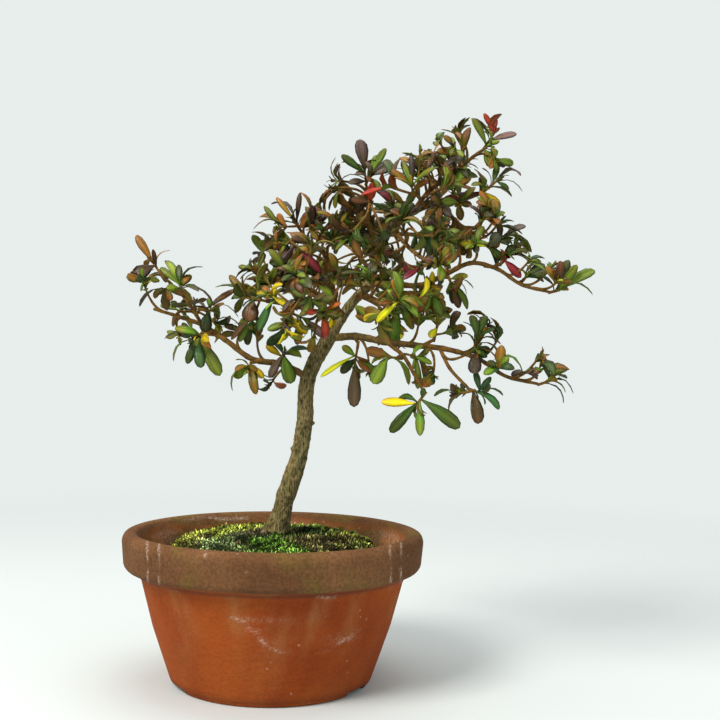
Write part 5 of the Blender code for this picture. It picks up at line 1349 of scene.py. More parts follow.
@dataclass
class Foliage:
    """The leafy sprays: the solids' twigs and leaves made fine, and more leaves than the solids hold."""

    crown: Crown
    leaves: Leaves
    leaf: Material
    bark: Material
    full_rosette: tuple = (9, 12)
    ease: float = 0.28
    reach: float = 7.0
    room: float = 6.5
    tries: int = 9
    plain: str = "gggggoooddkz"
    plain_share: float = 0.5
    open_limbs: tuple = ("trunk", "leader", "second_stem", "middle_stem", "long_right", "low_right", "low_left")
    open_share: float = 0.8
    told_room: float = 5.0
    told_share: float = 0.75
    left_as_told: tuple = ("left_tip_spray", "left_tip_low_spray")
    shorter: tuple = (0.52, 1.0)
    young: tuple = (3, 5)
    young_lean: tuple = (10, 42)
    young_length: tuple = (4.0, 7.5)
    young_width: tuple = (1.6, 2.6)
    fill_tries: int = 14
    fill_from: float = 0.12
    fill_from_on_leader: float = 0.3
    fill_to: float = 0.93
    fill_reach: tuple = (11, 22)
    fill_room: float = 0.3
    fill_rooted: float = 4.5
    fill_leaves: tuple = (5, 8)
    seed: int = 23
    fills: dict = field(default_factory=lambda: {
        "leader": (32, "gopdkoz"), "second_stem": (22, "gokdpoz"), "middle_stem": (12, "pogkoz"),
        "top_shoot": (7, "ogploz"), "long_right": (10, "godlo"), "upper_right": (10, "gdpo"),
        "low_right": (11, "godto"), "low_left": (7, "godyk"), "left_tip": (2, "gkd"), "left_middle": (7, "gydo"),
        "left_high": (9, "gdko"), "front_left": (6, "gopk"), "front_middle": (6, "gyolo"),
        "front_right": (6, "gdoc"), "front_top": (5, "ogpo"), "back_left": (9, "gokz"), "back_middle": (10, "gdoz"),
        "back_right": (10, "godz"), "back_low": (7, "gody"), "back_top": (8, "gopz"), "droop_tip": (1, "gd")})

    def __post_init__(self) -> None:
        """Starts the draws, and keeps where the solids' leaves show in the view."""
        self.draw = np.random.default_rng(self.seed)
        self.solids = self.crown.samples.copy()
        self.shown = VIEW.shown(self.solids)
        self.limb_rows = np.vstack([self.crown.limbs[name] for name in self.open_limbs])
        self.limbs_shown = VIEW.shown(self.limb_rows[:, :3])
        told = np.array([blade.outline is not Outline.SMALL for blade in self.crown.blades])
        told = np.repeat(told, len(self.crown.samples) // len(told))
        self.told, self.told_shown = self.crown.samples[told], self.shown[told]

    def hides_limb(self, blade: Blade) -> bool:
        """Whether a leaf stands before a main limb in the view."""
        middle = np.array([blade.root, (blade.root + blade.tip) / 2, blade.tip])
        away = np.linalg.norm(VIEW.shown(middle)[:, None] - self.limbs_shown[None], axis=-1)
        before = middle[:, None, 1] < self.limb_rows[None, :, 1]
        return bool(((away < self.limb_rows[:, 3] * 1.5 + 2.0) & before).any())

    def hides_told(self, blade: Blade) -> bool:
        """Whether a leaf stands before one that the photo shows singly."""
        run = np.array([blade.root + (blade.tip - blade.root) * u for u in (0.45, 0.75, 1.0)])
        away = np.linalg.norm(VIEW.shown(run)[:, None] - self.told_shown[None], axis=-1)
        return bool(((away < self.told_room) & (run[:, None, 1] < self.told[None, :, 1])).any())

    def within(self, places: Array, reach: float) -> bool:
        """Whether each place shows within this reach of one of the solids' leaves, so that the outline stays."""
        away = np.linalg.norm(VIEW.shown(places)[:, None] - self.shown[None], axis=-1)
        return bool((away.min(axis=1) < reach).all())

    def off_solids(self, place: Array) -> float:
        """How much further than room allows a place is from the nearest of the solids' leaves, in mm."""
        return max(float(np.linalg.norm(self.solids - place, axis=1).min()) - self.room, 0.0)

    def add_leaves(self, index: int, node: str, end: Array, axis: Array, rooted: float, palette: str,
                   count: int) -> None:
        """Adds leaves round a shoot where there is room, closer than the solids' leaves may stand.

        Args:
            index: the number of the spray, which tells its own leaves from others.
            node: the name of the spray.
            end: the shoot's end.
            axis: the way it points.
            rooted: how far back along it leaves may stand.
            palette: the letters of their colours.
            count: how many to try for.
        """
        turn = self.draw.uniform(0, 2 * math.pi)
        for k in range(count):
            root = end - axis * rooted * (k + 0.3) / count
            tried = []
            for _ in range(self.tries):
                turn += GOLDEN_ANGLE + self.draw.uniform(-0.3, 0.3)
                blade = free_blade(self.draw, node, root, axis, turn, palette)
                shorter = self.draw.uniform(*self.shorter)
                blade = blade._replace(tip=root + (blade.tip - root) * shorter,
                                       width=blade.width * (0.4 + 0.6 * shorter))
                if self.draw.random() < self.plain_share:
                    blade = blade._replace(colour=self.plain[int(self.draw.integers(len(self.plain)))])
                if self.draw.random() < self.open_share and self.hides_limb(blade):
                    continue
                if self.draw.random() < self.told_share and self.hides_told(blade):
                    continue
                if self.within(np.array([blade.tip]), self.reach):
                    tried.append((self.off_solids(blade.tip), blade))
            for _, blade in sorted(tried, key=lambda pair: pair[0]):
                if self.crown.kept(blade, index, self.ease):
                    break

    def bud(self, node: str, end: Array, axis: Array, palette: str) -> list[Blade]:
        """The three or four young leaves that close a shoot's tip."""
        count = int(self.draw.integers(*self.young))
        start = self.draw.uniform(0, 2 * math.pi)
        aside, other = round_about(axis)
        young = []
        for k in range(count):
            turn = start + GOLDEN_ANGLE * k
            out = aside * math.cos(turn) + other * math.sin(turn)
            lean = math.radians(self.draw.uniform(*self.young_lean))
            way = axis * math.cos(lean) + out * math.sin(lean)
            tip = end + way * self.draw.uniform(*self.young_length)
            colour = palette[int(self.draw.integers(len(palette)))]
            width = self.draw.uniform(*self.young_width)
            young.append(Blade(node, end - axis * 0.6, tip, square_to(way, axis - out), width, 0.1, colour,
                               Outline.SMALL))
        return young

    def twig(self, rows: Array) -> Surface:
        """A young twig along these rows, thinner than the solid's, its foot run back into what bears it."""
        fine = smooth(rows, 1.0)
        way = unit(fine[0, :3] - fine[1, :3])
        fine = np.vstack([[*(fine[0, :3] + way * 1.2), fine[0, 3]], fine])
        fine[:, 3] *= np.linspace(0.9, 0.62, len(fine))
        relief = 0.08 * waves(self.draw, np.zeros(6)[None], np.arange(len(fine))[:, None] * 0.5, 2.0, 4)
        tint = np.tile([0.0, 0, 0, 1], (len(fine), 1))
        tint[:, 0] = np.clip((fine[:, 3] - 0.75) * 0.6, 0, 0.3)
        stem = tube(fine, 6, relief, tint)
        stem.tints["flush"] = stem.tints["tint"]
        stem.finishes = [1] * len(stem.faces)
        return stem

    def spray(self, name: str, index: int, twigs: list[Array], buds: list[tuple], *nodes: str) -> None:
        """Makes one spray's piece.

        Args:
            name: the piece's name.
            index: the number that its leaves have.
            twigs: the rows of its twigs.
            buds: each shoot's end, way and palette.
            nodes: the solid that it stands for.
        """
        owners = self.crown.sample_nodes[:: len(SAMPLE_PLACES) * len(SAMPLE_SIDES)]
        blades = [blade for blade, owner in zip(self.crown.blades, owners) if owner == index]
        for end, axis, palette in buds:
            blades += self.bud(name, end, axis, palette)
        stems = [self.twig(rows) for rows in twigs]
        whole = Surface.joined([self.leaves.surface(blades), *stems])
        whole.piece(name, (self.leaf, self.bark), "foliage", *nodes)

    def fill_twigs(self, limb: str, count: int) -> list[Array]:
        """Twigs from a limb into the room about it, where the view doesn't tell single leaves.

        Args:
            limb: the limb that bears them.
            count: how many.

        Returns:
            The rows of each.
        """
        line, found = self.crown.limbs[limb], []
        others = [other for name, other in self.crown.limbs.items() if name != limb]
        start = self.fill_from_on_leader if limb == "leader" else self.fill_from
        for place in np.linspace(start, self.fill_to, count):
            row = int(place * (len(line) - 1))
            row = min(max(row, 4), len(line) - 2)
            along = unit(line[row, :3] - line[row - 3, :3])
            best = None
            for _ in range(self.fill_tries):
                out = unit(self.draw.normal(size=3) + (0, 0, 0.35))
                out = unit(out - along * out.dot(along))
                hub = line[row, :3] + (out + along * 0.6) * self.draw.uniform(*self.fill_reach)
                middle = bent_line(line[row, :3], along, hub, np.zeros(3))
                twig = tapered(middle, TWIGS.radius, TWIGS.side_radius)
                room = self.crown.clearance(twig[8:], others)
                crowd = np.linalg.norm(self.crown.samples - hub, axis=1)
                score = min(room, 2.0) + min(np.sort(crowd)[12] / 6, 2.0) - 0.4 * self.off_solids(hub)
                if room > self.fill_room and (best is None or score > best[0]) and self.within(hub[None], 6.0):
                    best = (score, thinned(twig, 4.0))
            if best:
                found.append(best[1])
        return found

    def build(self) -> None:
        """Builds every spray, and then the fills, limb by limb."""
        full = self.draw.integers(*self.full_rosette, len(list(self.crown.rosettes())), endpoint=True)
        for target, (index, name, end, axis, rooted, rosette) in zip(full, self.crown.rosettes()):
            told = len(rosette.leaves)
            wanted = min(int(target) - rosette.more - told, 3 if told > 2 else 99)
            if wanted > 0 and name not in self.left_as_told:
                self.add_leaves(index, name, end, axis, rooted, rosette.palette, wanted)
        fills = []
        for limb, (count, palette) in self.fills.items():
            index, name = len(self.crown.nodes), f"{limb}_core_leaves"
            self.crown.nodes.append(name)
            twigs = self.fill_twigs(limb, count)
            shoots = []
            for rows in twigs:
                axis = end_way(rows)
                wanted = int(self.draw.integers(*self.fill_leaves))
                self.add_leaves(index, name, rows[-1, :3], axis, self.fill_rooted, palette, wanted)
                shoots.append((rows[-1, :3], axis, palette))
            fills.append((name, index, twigs, shoots))
        for index, name in enumerate(self.crown.rosettes_of):
            twigs = [rows for node, rows in self.crown.twig_rows if node == name]
            shoots = [(end, axis, rosette.palette) for (end, axis, _), rosette in
                      zip(self.crown.hubs[name], self.crown.rosettes_of[name])]
            self.spray(name.replace("_spray", "_leaves"), index, twigs, shoots, name)
        for name, index, twigs, shoots in fills:
            self.spray(name, index, twigs, shoots)
        log.info("leaves: %d, and the young ones at the tips", len(self.crown.blades))


@dataclass
class Wood:
    """The trunk and its limbs, with bark relief, a flared foot and swellings at old leaf scars."""

    crown: Crown
    bark: Material
    trunk_sides: int = 56
    limb_sides: int = 14
    relief: float = 0.07
    flare: float = 0.27
    seed: int = 5
    nubs: tuple = ((291, 449, -5, 2.6), (313, 424, 2, 2.2), (299, 400, -4, 1.6), (285, 497, -6, 1.5))

    def limb(self, name: str) -> Surface:
        """A limb: its route made smooth, with relief of long low waves and a swelling every so often.

        Args:
            name: the limb's name.

        Returns:
            Its surface, tinted by age, which grows with its thickness.
        """
        draw = np.random.default_rng(self.seed + len(name) * 7 + ord(name[0]))
        rows = smooth(self.crown.limb_rows[name], 0.7 if name == "trunk" else 1.0)
        rows[:, 3] *= np.interp(rows[:, 3], (1.0, 4.0), (0.84, 1.0))
        sides = self.trunk_sides if name == "trunk" else self.limb_sides
        angle = (np.arange(sides) * 2 * math.pi / sides)[None]
        run = np.arange(len(rows))[:, None] * 1.0
        size = np.clip(rows[:, 3:] / 4.0, 0.35, 1.0)
        relief = self.relief * size * waves(draw, angle, run, 0.35, 10, True)
        if name == "trunk":
            relief += 0.035 * waves(draw, angle * 3, run, 1.3, 14, True)
            foot = np.exp(-np.maximum(rows[:, 2:3] - 85.0, 0) / 5.0)
            relief += self.flare * foot * (1 + np.sin(4 * angle + 0.8) * 0.7 + np.sin(7 * angle) * 0.3)
        else:
            knots = np.sin(run / draw.uniform(2.2, 3.2) + draw.uniform(0, 6)) ** 8
            relief += 0.16 * knots * (1 - 0.5 * size)
        age = np.clip((rows[:, 3] - 0.9) / 2.4, 0.0, 1.0)
        tint = np.stack([age, age * 0, age * 0, age * 0 + 1], axis=1)
        return tube(rows, sides, relief, tint)

    def nub(self, across: float, down: float, depth: float, size: float) -> Surface:
        """The healed stump of a lost twig: a short stem that ends in a blunt dome."""
        place = VIEW.seen(across, down, depth)
        trunk = self.crown.limbs["trunk"]
        nearest = trunk[np.linalg.norm(trunk[:, :3] - place, axis=1).argmin(), :3]
        way = unit(place - nearest + (0, 0, 0.6))
        t = np.linspace(0, 1, 7)[:, None]
        reach = 4.2 + size
        rows = np.hstack([nearest + way * reach * t, size * np.sqrt(1.05 - t**3) * np.ones((7, 1))])
        return tube(rows, 12, None, np.tile([0.9, 0, 0, 1], (7, 1)))

    def stub(self, rows: Array) -> Surface:
        """The start of a twig on its limb, run on a little to meet the spray's own twig."""
        fine = smooth(rows, 1.0)
        fine = np.vstack([fine, [*(fine[-1, :3] + end_way(fine) * 0.5), fine[-1, 3]]])
        fine[:, 3] *= 0.88
        return tube(fine, 8, None, np.tile([0.18, 0, 0, 1], (len(fine), 1)))

    def build(self) -> None:
        """Builds the wood as one piece."""
        parts = [self.limb(name) for name in LIMBS]
        parts += [self.stub(rows) for rows in self.crown.stub_rows]
        parts += [self.nub(*nub) for nub in self.nubs]
        Surface.joined(parts).piece("tree_wood", (self.bark,), "bark", "trunk_and_branches")


@dataclass
class Pot:
    """The round training pot: a banded rim, a tapering body, drain channels, and the marks of years of use."""

    clay: Material
    height: float = 88.9
    band_foot: float = 67.9
    sides: int = 320
    drain_radius: float = 6.5
    drain_distance: float = 27.0
    channel_width: float = 20.0
    channel_height: float = 3.0
    floor: float = 9.0
    angles: tuple = (90, 210, 330)
    seed: int = 3
    scuff: tuple = ((232, 617), (245, 623), (255, 632), (265, 645), (285, 655), (305, 658), (325, 652), (345, 640),
                    (360, 630))
    haze: tuple = ((262, 618), (290, 628), (318, 626), (338, 634))
    streaks: tuple = (((147, 541), (148, 583)), ((159, 543), (159, 585)), ((390, 545), (391, 584)),
                      ((401, 543), (401, 583)), ((205, 549), (206, 560)))
    wall_scuff: tuple = ((182, 521), (205, 516), (222, 519), (248, 518))
    chip: tuple = ((318, 597), (335, 597))
    # Where the chip's pit shows dark: painted shade
    chip_pit_shade: tuple = ((331, 597), (334, 597))
    drops: tuple = ((272, 662), (348, 672), (291, 694), (190, 634), (188, 528), (180, 518), (246, 573))

    def profile(self) -> Array:
        """The section from the floor's middle up the inside, over the rim and down to the underside's middle."""
        inner = [(0.0, self.floor), (49.0, self.floor), (54.5, self.floor + 3.0), (71.5, 62.0),
                 (79.9, self.height - 4.0), (81.7, self.height - 0.8)]
        outer = [(84.5, self.height), (88.4, self.height - 0.9), (90.0, self.height - 4.5),
                 (88.7, self.band_foot + 2.2), (87.3, self.band_foot), (80.6, self.band_foot - 3.4),
                 (78.4, self.band_foot - 6.5), (71.2, 34.0), (60.4, 2.6), (58.3, 0.0), (0.0, 0.0)]
        return self.rounded(np.array(inner + outer), 2.2)

    @staticmethod
    def rounded(corners: Array, radius: float) -> Array:
        """A section with each corner cut back by the radius at most and bridged by a parabola, in short steps."""
        rows = [corners[:1]]
        for before, corner, after in zip(corners, corners[1:], corners[2:]):
            reach = min(radius, 0.45 * np.linalg.norm(corner - before), 0.45 * np.linalg.norm(after - corner))
            start = corner + unit(before - corner) * reach
            end = corner + unit(after - corner) * reach
            t = np.linspace(0, 1, 6)[:, None]
            rows.append((1 - t) ** 2 * start + 2 * t * (1 - t) * corner + t**2 * end)
        rows = np.vstack([*rows, corners[-1:]])
        pieces = [rows[:1]]
        for start, end in zip(rows, rows[1:]):
            step = 6.0 if max(start[1], end[1]) < 12 else 1.15
            count = max(1, round(np.linalg.norm(end - start) / step))
            pieces.append(start + (end - start) * (np.arange(1, count + 1) / count)[:, None])
        return np.vstack(pieces)

    def near(self, shown: Array, route: Sequence, reach: float) -> Array:
        """How strongly a mark along a route of the view touches points of the view: 1 on it, 0 beyond its reach."""
        line = np.array([(*place, 0.0) for place in route], float)
        if len(line) == 1:
            line = np.vstack([line, line + (0.01, 0, 0)])
        away = distances(np.column_stack([shown, np.zeros(len(shown))]), line)
        return np.clip(1 - away / reach, 0, 1)

    def tint(self, points: Array) -> Array:
        """The share of band, inside, marks, and grime with painted shade at each point, as the finish reads them."""
        draw = np.random.default_rng(self.seed)
        radius, height = np.hypot(points[:, 0], points[:, 1]), points[:, 2]
        angle = np.arctan2(points[:, 1], points[:, 0])
        wall = np.interp(height, (9, 62, 84.9, 88.9), (60, 74.9, 83.2, 84.5))
        outside = radius > wall
        uneven = waves(draw, angle, height * 0.05, 2.0, 9, True)
        band = np.clip((height - self.band_foot + 1.2 + uneven * 0.3) / 1.2, 0, 1) * outside
        band = np.maximum(band, np.clip((height - 80 - uneven * 1.5) / 5, 0, 1))
        inside = np.clip((wall - radius) / 1.5, 0, 1) * (height > 12) * (1 - band)
        shown = VIEW.shown(points)
        front = np.clip(-points[:, 1] / 8, 0, 1) * outside
        marks = 0.34 * self.near(shown, self.scuff, 2.6) + 0.26 * self.near(shown, self.scuff, 12)
        marks = marks + 0.24 * self.near(shown, self.haze, 26) + 1.0 * self.near(shown, self.chip, 3.2)
        for streak in self.streaks:
            marks = np.maximum(marks, 0.95 * self.near(shown, streak, 2.0))
        for drop in self.drops:
            marks = np.maximum(marks, 1.2 * self.near(shown, (drop,), 2.4))
        broken = np.clip(0.75 + 0.45 * waves(draw, angle, height * 0.12, 9.0, 12, True), 0.1, 1.25)
        marks *= front * broken
        back = np.clip(points[:, 1] / 8, 0, 1) * outside
        rubbed = np.clip(waves(draw, angle, height * 0.045, 1.6, 8, True) - 1.1, 0, 1)
        marks += rubbed * 0.5 * back + inside * np.clip(uneven * 0.5 + 0.1, 0, 0.6)
        marks += 0.55 * self.near(shown, self.wall_scuff, 4.0) * (points[:, 1] > 20) * (1 - outside) * broken
        # Painted shade in the recess under the rim band's ledge
        shade_under_band = np.exp(-((height - self.band_foot + 2.4) / 1.8) ** 2) * outside
        foot = np.clip(1 - height / 7, 0, 1) * 0.75 * outside
        # A dark ring on the inner wall at the soil's level: soil stain, and painted shade in the gap between moss and
        # wall
        soil_stain_and_gap_shade = np.exp(-((height - 70) / 4.0) ** 2) * (inside > 0)
        dirt_and_shade = np.clip(shade_under_band * 0.75 + foot + soil_stain_and_gap_shade * 0.8, 0, 1)
        # A dark spot in the chip: painted shade of its pit
        dirt_and_shade = np.maximum(dirt_and_shade, 1.2 * self.near(shown, self.chip_pit_shade, 2.0) * front)
        return np.stack([band, inside, np.clip(marks, 0, 1), np.clip(dirt_and_shade, 0, 1)], axis=1)

    def cutters(self) -> list[Surface]:
        """The three drain channels with their round ends, and the three drain holes."""
        made = []
        length = 65.0 - self.drain_distance
        for angle in self.angles:
            turn = math.radians(angle)
            way, across = np.array([math.cos(turn), math.sin(turn), 0]), np.array([-math.sin(turn), math.cos(turn), 0])
            start = way * self.drain_distance
            half = self.channel_width / 2
            arc = np.linspace(math.pi / 2, 3 * math.pi / 2, 24)
            outline = [start + way * length - across * half, start + way * length + across * half]
            outline += [start + way * half * math.cos(a) + across * half * math.sin(a) for a in arc]
            hole = [start + (way * math.cos(a) + across * math.sin(a)) * self.drain_radius
                    for a in np.arange(32) * math.pi / 16]
            for shape, low, high in ((outline, -3.0, self.channel_height), (hole, -4.0, self.floor + 4)):
                ring = np.array(shape)
                rings = np.stack([ring + (0, 0, low), ring + (0, 0, high)])[None]
                made.append(Surface.loft(rings, np.array([0.0, 1.0])))
        return made

    def build(self) -> None:
        """Builds the pot: the section turned round, with the channels and holes cut out of it."""
        profile = self.profile()
        angle = np.arange(self.sides) * 2 * math.pi / self.sides
        body = profile[1:-1]
        draw = np.random.default_rng(self.seed)
        uneven = 0.18 * waves(draw, angle[None], body[:, 1:] * 0.03, 1.5, 6, True) * (body[:, 1:] > 12)
        radius = body[:, :1] + uneven
        rings = [radius * np.cos(angle), radius * np.sin(angle), body[:, 1:] * np.ones((1, self.sides))]
        poles = (np.array([[0, 0, self.floor]]), np.array([[0.0, 0, 0]]))
        whole = Surface.loft(np.stack(rings, axis=-1)[None], np.linspace(0, 1, len(body)), poles)
        whole.tints["tint"] = self.tint(whole.points)
        pot = whole.piece("clay_pot", (self.clay,), "terracotta", "pot")
        for number, cutter in enumerate(self.cutters()):
            tool = placed(f"cutter_{number}", cutter.mesh("cutter"))
            cut = pot.modifiers.new("cut", "BOOLEAN")
            cut.operation, cut.object, cut.solver = "DIFFERENCE", tool, "MANIFOLD"
            mesh = bpy.data.meshes.new_from_object(pot.evaluated_get(bpy.context.evaluated_depsgraph_get()))
            pot.modifiers.clear()
            pot.data = mesh
            bpy.data.objects.remove(tool)


@dataclass
class Ground:
    """The soil and the moss: mounds that carry thousands of granules and tufts."""

    soil: Material
    moss: Material
    granules: int = 1500
    tufts: int = 9600
    patches: tuple = (
        (-50, -32, 13, (0.170, 0.175, 0.030)), (-30, 20, 18, (0.190, 0.225, 0.030)),
        (-29, -38, 15, (0.230, 0.310, 0.120)), (-16, -30, 7, (0.060, 0.085, 0.024)),
        (-11, 0, 9, (0.120, 0.095, 0.058)), (-14, -48, 10, (0.150, 0.230, 0.050)),
        (4, -38, 14, (0.120, 0.250, 0.030)), (16, 10, 13, (0.028, 0.048, 0.010)),
        (25, -24, 12, (0.125, 0.108, 0.038)), (38, -12, 10, (0.080, 0.075, 0.024)),
        (44, 8, 13, (0.150, 0.160, 0.026)), (52, -26, 12, (0.080, 0.095, 0.018)),
        (38, 34, 15, (0.060, 0.095, 0.014)), (0, 46, 20, (0.090, 0.160, 0.020)),
        (-46, 38, 18, (0.160, 0.185, 0.030)))
    seed: int = 31
    soil_top: tuple = ((0.0, 82.5), (30.0, 81.5), (50.0, 78.0), (62.0, 73.5), (73.0, 69.0))
    moss_top: tuple = ((0.0, 87.2), (14.0, 87.0), (28.0, 86.4), (42.0, 85.0), (54.0, 82.8), (61.0, 79.0), (62.5, 75.5))

    def __post_init__(self) -> None:
        """Starts the draws."""
        self.draw = np.random.default_rng(self.seed)

    def hump(self, x: Array, y: Array) -> Array:
        """The moss's cushions: the solid's long waves, with shorter ones on them."""
        wave = np.sin(x * 0.16 + 1.3) * np.cos(y * 0.19 + 0.4) + 0.6 * np.sin(x * 0.31 - y * 0.27)
        short = np.sin(x * 0.62 + np.sin(y * 0.4) * 2) * np.sin(y * 0.71 + np.sin(x * 0.33) * 2)
        return 0.9 * wave + 0.95 * short

    def mound(self, top: Sequence, low: float, sides: int, hump: float) -> Surface:
        """A mound: the top's height over the radius, with humps, down to a flat underside.

        Args:
            top: the radius and height of its top, from the middle out.
            low: the height of its underside.
            sides: points on each ring.
            hump: the share of the humps.

        Returns:
            Its surface.
        """
        radii = np.concatenate([np.linspace(1.0, top[-1][0], 44), [top[-1][0] - 1.0, 3.0]])
        heights = np.concatenate([np.interp(radii[:-2], *zip(*top)), [low, low]])
        angle = np.arange(sides) * 2 * math.pi / sides
        x, y = radii[:, None] * np.cos(angle), radii[:, None] * np.sin(angle)
        z = heights[:, None] + self.hump(x, y) * hump * (np.arange(len(radii)) < 44)[:, None]
        rings = np.stack([x, y, z], axis=-1)[None]
        poles = (np.array([[0, 0, z[0].mean()]]), np.array([[0, 0, low]]))
        return Surface.loft(rings, np.linspace(0, 1, len(radii)), poles)

    def greens(self, x: Array, y: Array) -> Array:
        """The moss's colour by place: that of the patches near it, with borders bent by waves, in clumps."""
        warp = [5.0 * waves(np.random.default_rng(self.seed + k), x * 0.14, y * 0.14, 2.0, 8) for k in (0, 1)]
        where = np.stack([x + warp[0], y + warp[1]], axis=-1)
        centres, tones = np.array([patch[:2] for patch in self.patches]), np.array([patch[3] for patch in self.patches])
        reach = np.array([patch[2] for patch in self.patches])
        near = np.exp(-((np.linalg.norm(where[:, None] - centres[None], axis=-1) / reach) ** 2) * 1.6) + 1e-6
        colour = (near[..., None] * tones[None]).sum(1) / near.sum(1)[:, None]
        clump = np.exp(0.75 * waves(np.random.default_rng(self.seed + 2), x * 0.26, y * 0.26, 2.0, 10))[:, None]
        fine = np.clip(waves(np.random.default_rng(self.seed + 3), x * 0.4, y * 0.4, 2.0, 8) - 0.45, 0, 1)[:, None]
        return (colour * (1 - fine) + np.array([0.115, 0.080, 0.036]) * fine) * clump

    def build_moss(self) -> None:
        """Builds the mat: its mound, and small pointed tufts that lean all ways."""
        mound = self.mound(self.moss_top, 74.0, 150, 1.0)
        # The mat beneath the tufts at a fifth of their colour: the darker old growth, and painted shade down among the
        # tufts
        greens = self.greens(mound.points[:, 0], mound.points[:, 1]) * 0.2
        mound.tints["tint"] = np.column_stack([greens, np.ones(len(greens))])
        count = self.tufts
        radius, angle = 63.0 * np.sqrt(self.draw.uniform(0.01, 1, count)), self.draw.uniform(0, 2 * math.pi, count)
        x, y = radius * np.cos(angle), radius * np.sin(angle)
        z = np.interp(radius, *zip(*self.moss_top)) + self.hump(x, y) - 1.0
        lean = self.draw.normal(0, 0.6, (count, 3)) + (0, 0, 1)
        way = unit(lean + np.column_stack([x, y, x * 0]) * 0.006)
        lush = 0.5 + 0.5 * np.sin(x * 0.55 + 1.7 * np.sin(y * 0.35)) * np.sin(y * 0.6 + 1.3 * np.sin(x * 0.41))
        size = (self.draw.uniform(0.46, 0.98, count) * (0.75 + 0.85 * lush))[:, None]
        aside = unit(np.cross(way, [0.31, 0.95, 0.02]))
        other = np.cross(way, aside)
        turn = np.arange(3) * math.pi / 1.5
        ring = aside[:, None] * np.cos(turn)[:, None] + other[:, None] * np.sin(turn)[:, None]
        base = np.stack([x, y, z], axis=-1)
        rings = np.stack([base[:, None] + ring * size[:, None] * 0.40,
                          base[:, None] + way[:, None] * size[:, None] * 1.1 + ring * size[:, None] * 0.46,
                          base[:, None] + way[:, None] * size[:, None] * 2.1 + ring * size[:, None] * 0.16], axis=1)
        tips = base + way * size * 2.7
        greens = self.greens(x, y) * np.exp(self.draw.normal(0, 0.75, (count, 1)))
        # Each tuft dark at its foot and bright at its tip: the moss's darker old growth, with painted shade at the foot
        # and painted light on the tip
        greens = greens[:, None] * np.array([0.06, 0.65, 2.7])[:, None]
        tint = np.concatenate([greens, np.ones((count, 3, 1))], axis=2)
        tufts = Surface.loft(rings, np.array([0.0, 0.5, 1.0]), (base, tips), tint=tint)
        Surface.joined([mound, tufts]).piece("moss_carpet", (self.moss,), "moss", "moss")

    def build_soil(self) -> None:
        """Builds the soil: its body down to the nets, and rough granules strewn over its top."""
        base = 9.0 + 2 * GAP + 1.2
        body = self.mound(self.soil_top, base, 120, 0.2)
        radius, height = np.hypot(body.points[:, 0], body.points[:, 1]), body.points[:, 2]
        low = (height < base + 1) & (radius > 40)
        body.points[low, :2] *= 48.5 / 72.0
        body.tints["tint"] = np.tile([0.045, 0.030, 0.018, 1], (len(body.points), 1))
        count = self.granules
        radius = 72.0 * np.sqrt(self.draw.uniform(0.3, 1, count))
        angle = self.draw.uniform(0, 2 * math.pi, count)
        size = self.draw.uniform(0.7, 2.1, count) * np.where(radius < 60, 0.8, 1.0)
        radius = np.minimum(radius, 71.9 - size)
        place = np.stack([radius * np.cos(angle), radius * np.sin(angle), np.interp(radius, *zip(*self.soil_top))], -1)
        polar = np.array([0.22, 0.5, 0.78]) * math.pi
        turn = np.arange(6) * math.pi / 3
        ball = np.stack([np.sin(polar)[:, None] * np.cos(turn), np.sin(polar)[:, None] * np.sin(turn),
                         np.cos(polar)[:, None] * np.ones(6)], axis=-1)
        squash = self.draw.uniform(0.7, 1.15, (count, 1, 1, 3))
        rough = 1 + self.draw.normal(0, 0.1, (count, 3, 6, 1))
        rings = place[:, None, None] + ball[None] * size[:, None, None, None] * squash * rough
        rise = size[:, None] * squash[:, 0, 0] * np.array([0, 0, 1.0])
        tones = np.array([(0.10, 0.060, 0.030), (0.17, 0.105, 0.050), (0.050, 0.035, 0.024), (0.24, 0.185, 0.110)])
        tint = tones[self.draw.integers(0, 4, count)] * np.exp(self.draw.normal(0, 0.2, (count, 1)))
        grains = Surface.loft(rings, np.array([0.0, 0.5, 1.0]), (place + rise, place - rise),
                              tint=np.column_stack([tint, np.ones(count)]))
        Surface.joined([body, grains]).piece("soil_granules", (self.soil,), "soil", "soil")


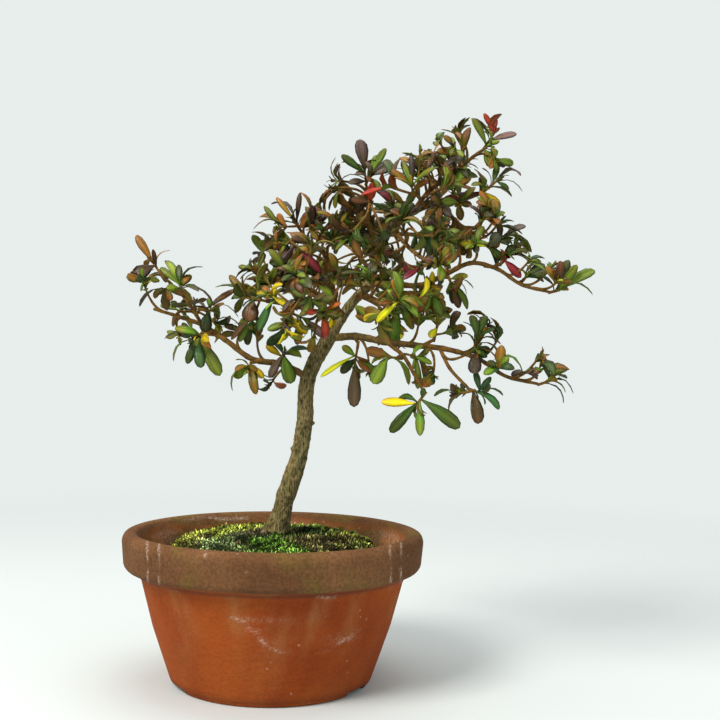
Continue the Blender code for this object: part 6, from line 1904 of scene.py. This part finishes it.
class Studio:
    """A plain pale floor that fades into a plain pale surround, and soft light."""

    pale: Colour = (0.800, 0.850, 0.835)

    def build_floor(self) -> None:
        """A round sheet, lit as far as the object's shadow reaches, which thins out to show the surround beyond."""
        angle = np.arange(96) * 2 * math.pi / 96
        ring = np.stack([np.cos(angle), np.sin(angle), angle * 0], axis=-1)
        points = np.concatenate([np.zeros((1, 3)), ring * 0.5, ring * 1.4])
        k = np.arange(96)
        turned = np.roll(k, -1)
        middle = np.stack([k * 0, k + 1, turned + 1], axis=-1)
        outer = np.stack([k + 1, k + 97, turned + 97, turned + 1], axis=-1)
        mesh = bpy.data.meshes.new("floor")
        mesh.from_pydata(points.tolist(), [], middle.tolist() + outer.tolist())
        finish = Finish("floor", 0.9, 0.1)
        finish.shader.inputs["Base Color"].default_value = (0.655, 0.69, 0.68, 1)
        reach = finish.tree.add("VectorMath", {0: finish.place}, operation="LENGTH").outputs["Value"]
        finish.feed("Alpha", finish.tree.ramp(reach, 0.30, 1.1, (1.0, 0.0)))
        mesh.materials.append(finish.material)
        placed("floor", mesh)

    def build_surround(self) -> None:
        """Even light from all round: pale where the camera sees it, and dimmer as light, so that shadows stay deep."""
        world = bpy.data.worlds.new("studio")
        world.use_nodes = True
        tree = Tree(world.node_tree)
        seen = tree.add("LightPath").outputs["Is Camera Ray"]
        background = world.node_tree.nodes["Background"]
        background.inputs["Color"].default_value = (*self.pale, 1)
        world.node_tree.links.new(tree.ramp(seen, 0.0, 1.0, (0.42, 1.0)), background.inputs["Strength"])
        bpy.context.scene.world = world

    def add_light(self, name: str, place: Sequence, aim: Sequence, size: float, power: float, colour: Colour) -> None:
        """Adds a square soft light.

        Args:
            name: its name.
            place: where it hangs, in metres.
            aim: what it is turned to.
            size: its side.
            power: its power in watts.
            colour: its colour.
        """
        data = bpy.data.lights.new(name, "AREA")
        data.size, data.energy, data.color = size, power, colour
        light = placed(name, data)
        light.location = place
        light.rotation_euler = (Vector(aim) - Vector(place)).to_track_quat("-Z", "Y").to_euler()

    def build(self) -> None:
        """Builds the floor, the surround and the lights."""
        self.build_floor()
        self.build_surround()
        self.add_light("key", (-1.0, -1.1, 1.5), (0.03, 0, 0.15), 0.8, 43, (1.0, 0.985, 0.94))
        self.add_light("fill", (1.3, -1.0, 0.9), (0.03, 0, 0.15), 1.4, 8, (0.95, 0.98, 1.0))
        self.add_light("top", (0.1, 0.3, 1.9), (0.03, 0.2, 0.1), 1.6, 20, (1.0, 1.0, 1.0))
        bpy.context.scene.view_settings.view_transform = "Standard"


def main() -> None:
    """Builds the plant, its pot and the studio, and reports each piece."""
    logging.basicConfig(level=logging.INFO, format="%(message)s", stream=sys.stdout)
    VIEW.add_camera()
    Studio().build()
    effects = Effects()
    crown = Crown()
    leaf, bark = LeafFinish().build(effects), BarkFinish().build(effects)
    Wood(crown, bark).build()
    Foliage(crown, Leaves(), leaf, bark).build()
    Pot(ClayFinish().build(effects)).build()
    ground = Ground(SOIL.build(effects), MOSS.build(effects))
    ground.build_soil()
    ground.build_moss()
    net = NetFinish().build(effects)
    for number in (1, 2, 3):
        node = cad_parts[f"drain_net_{number}"]
        node.data.materials.clear()
        node.data.materials.append(net)
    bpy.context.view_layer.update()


if __name__ == "__main__":
    main()
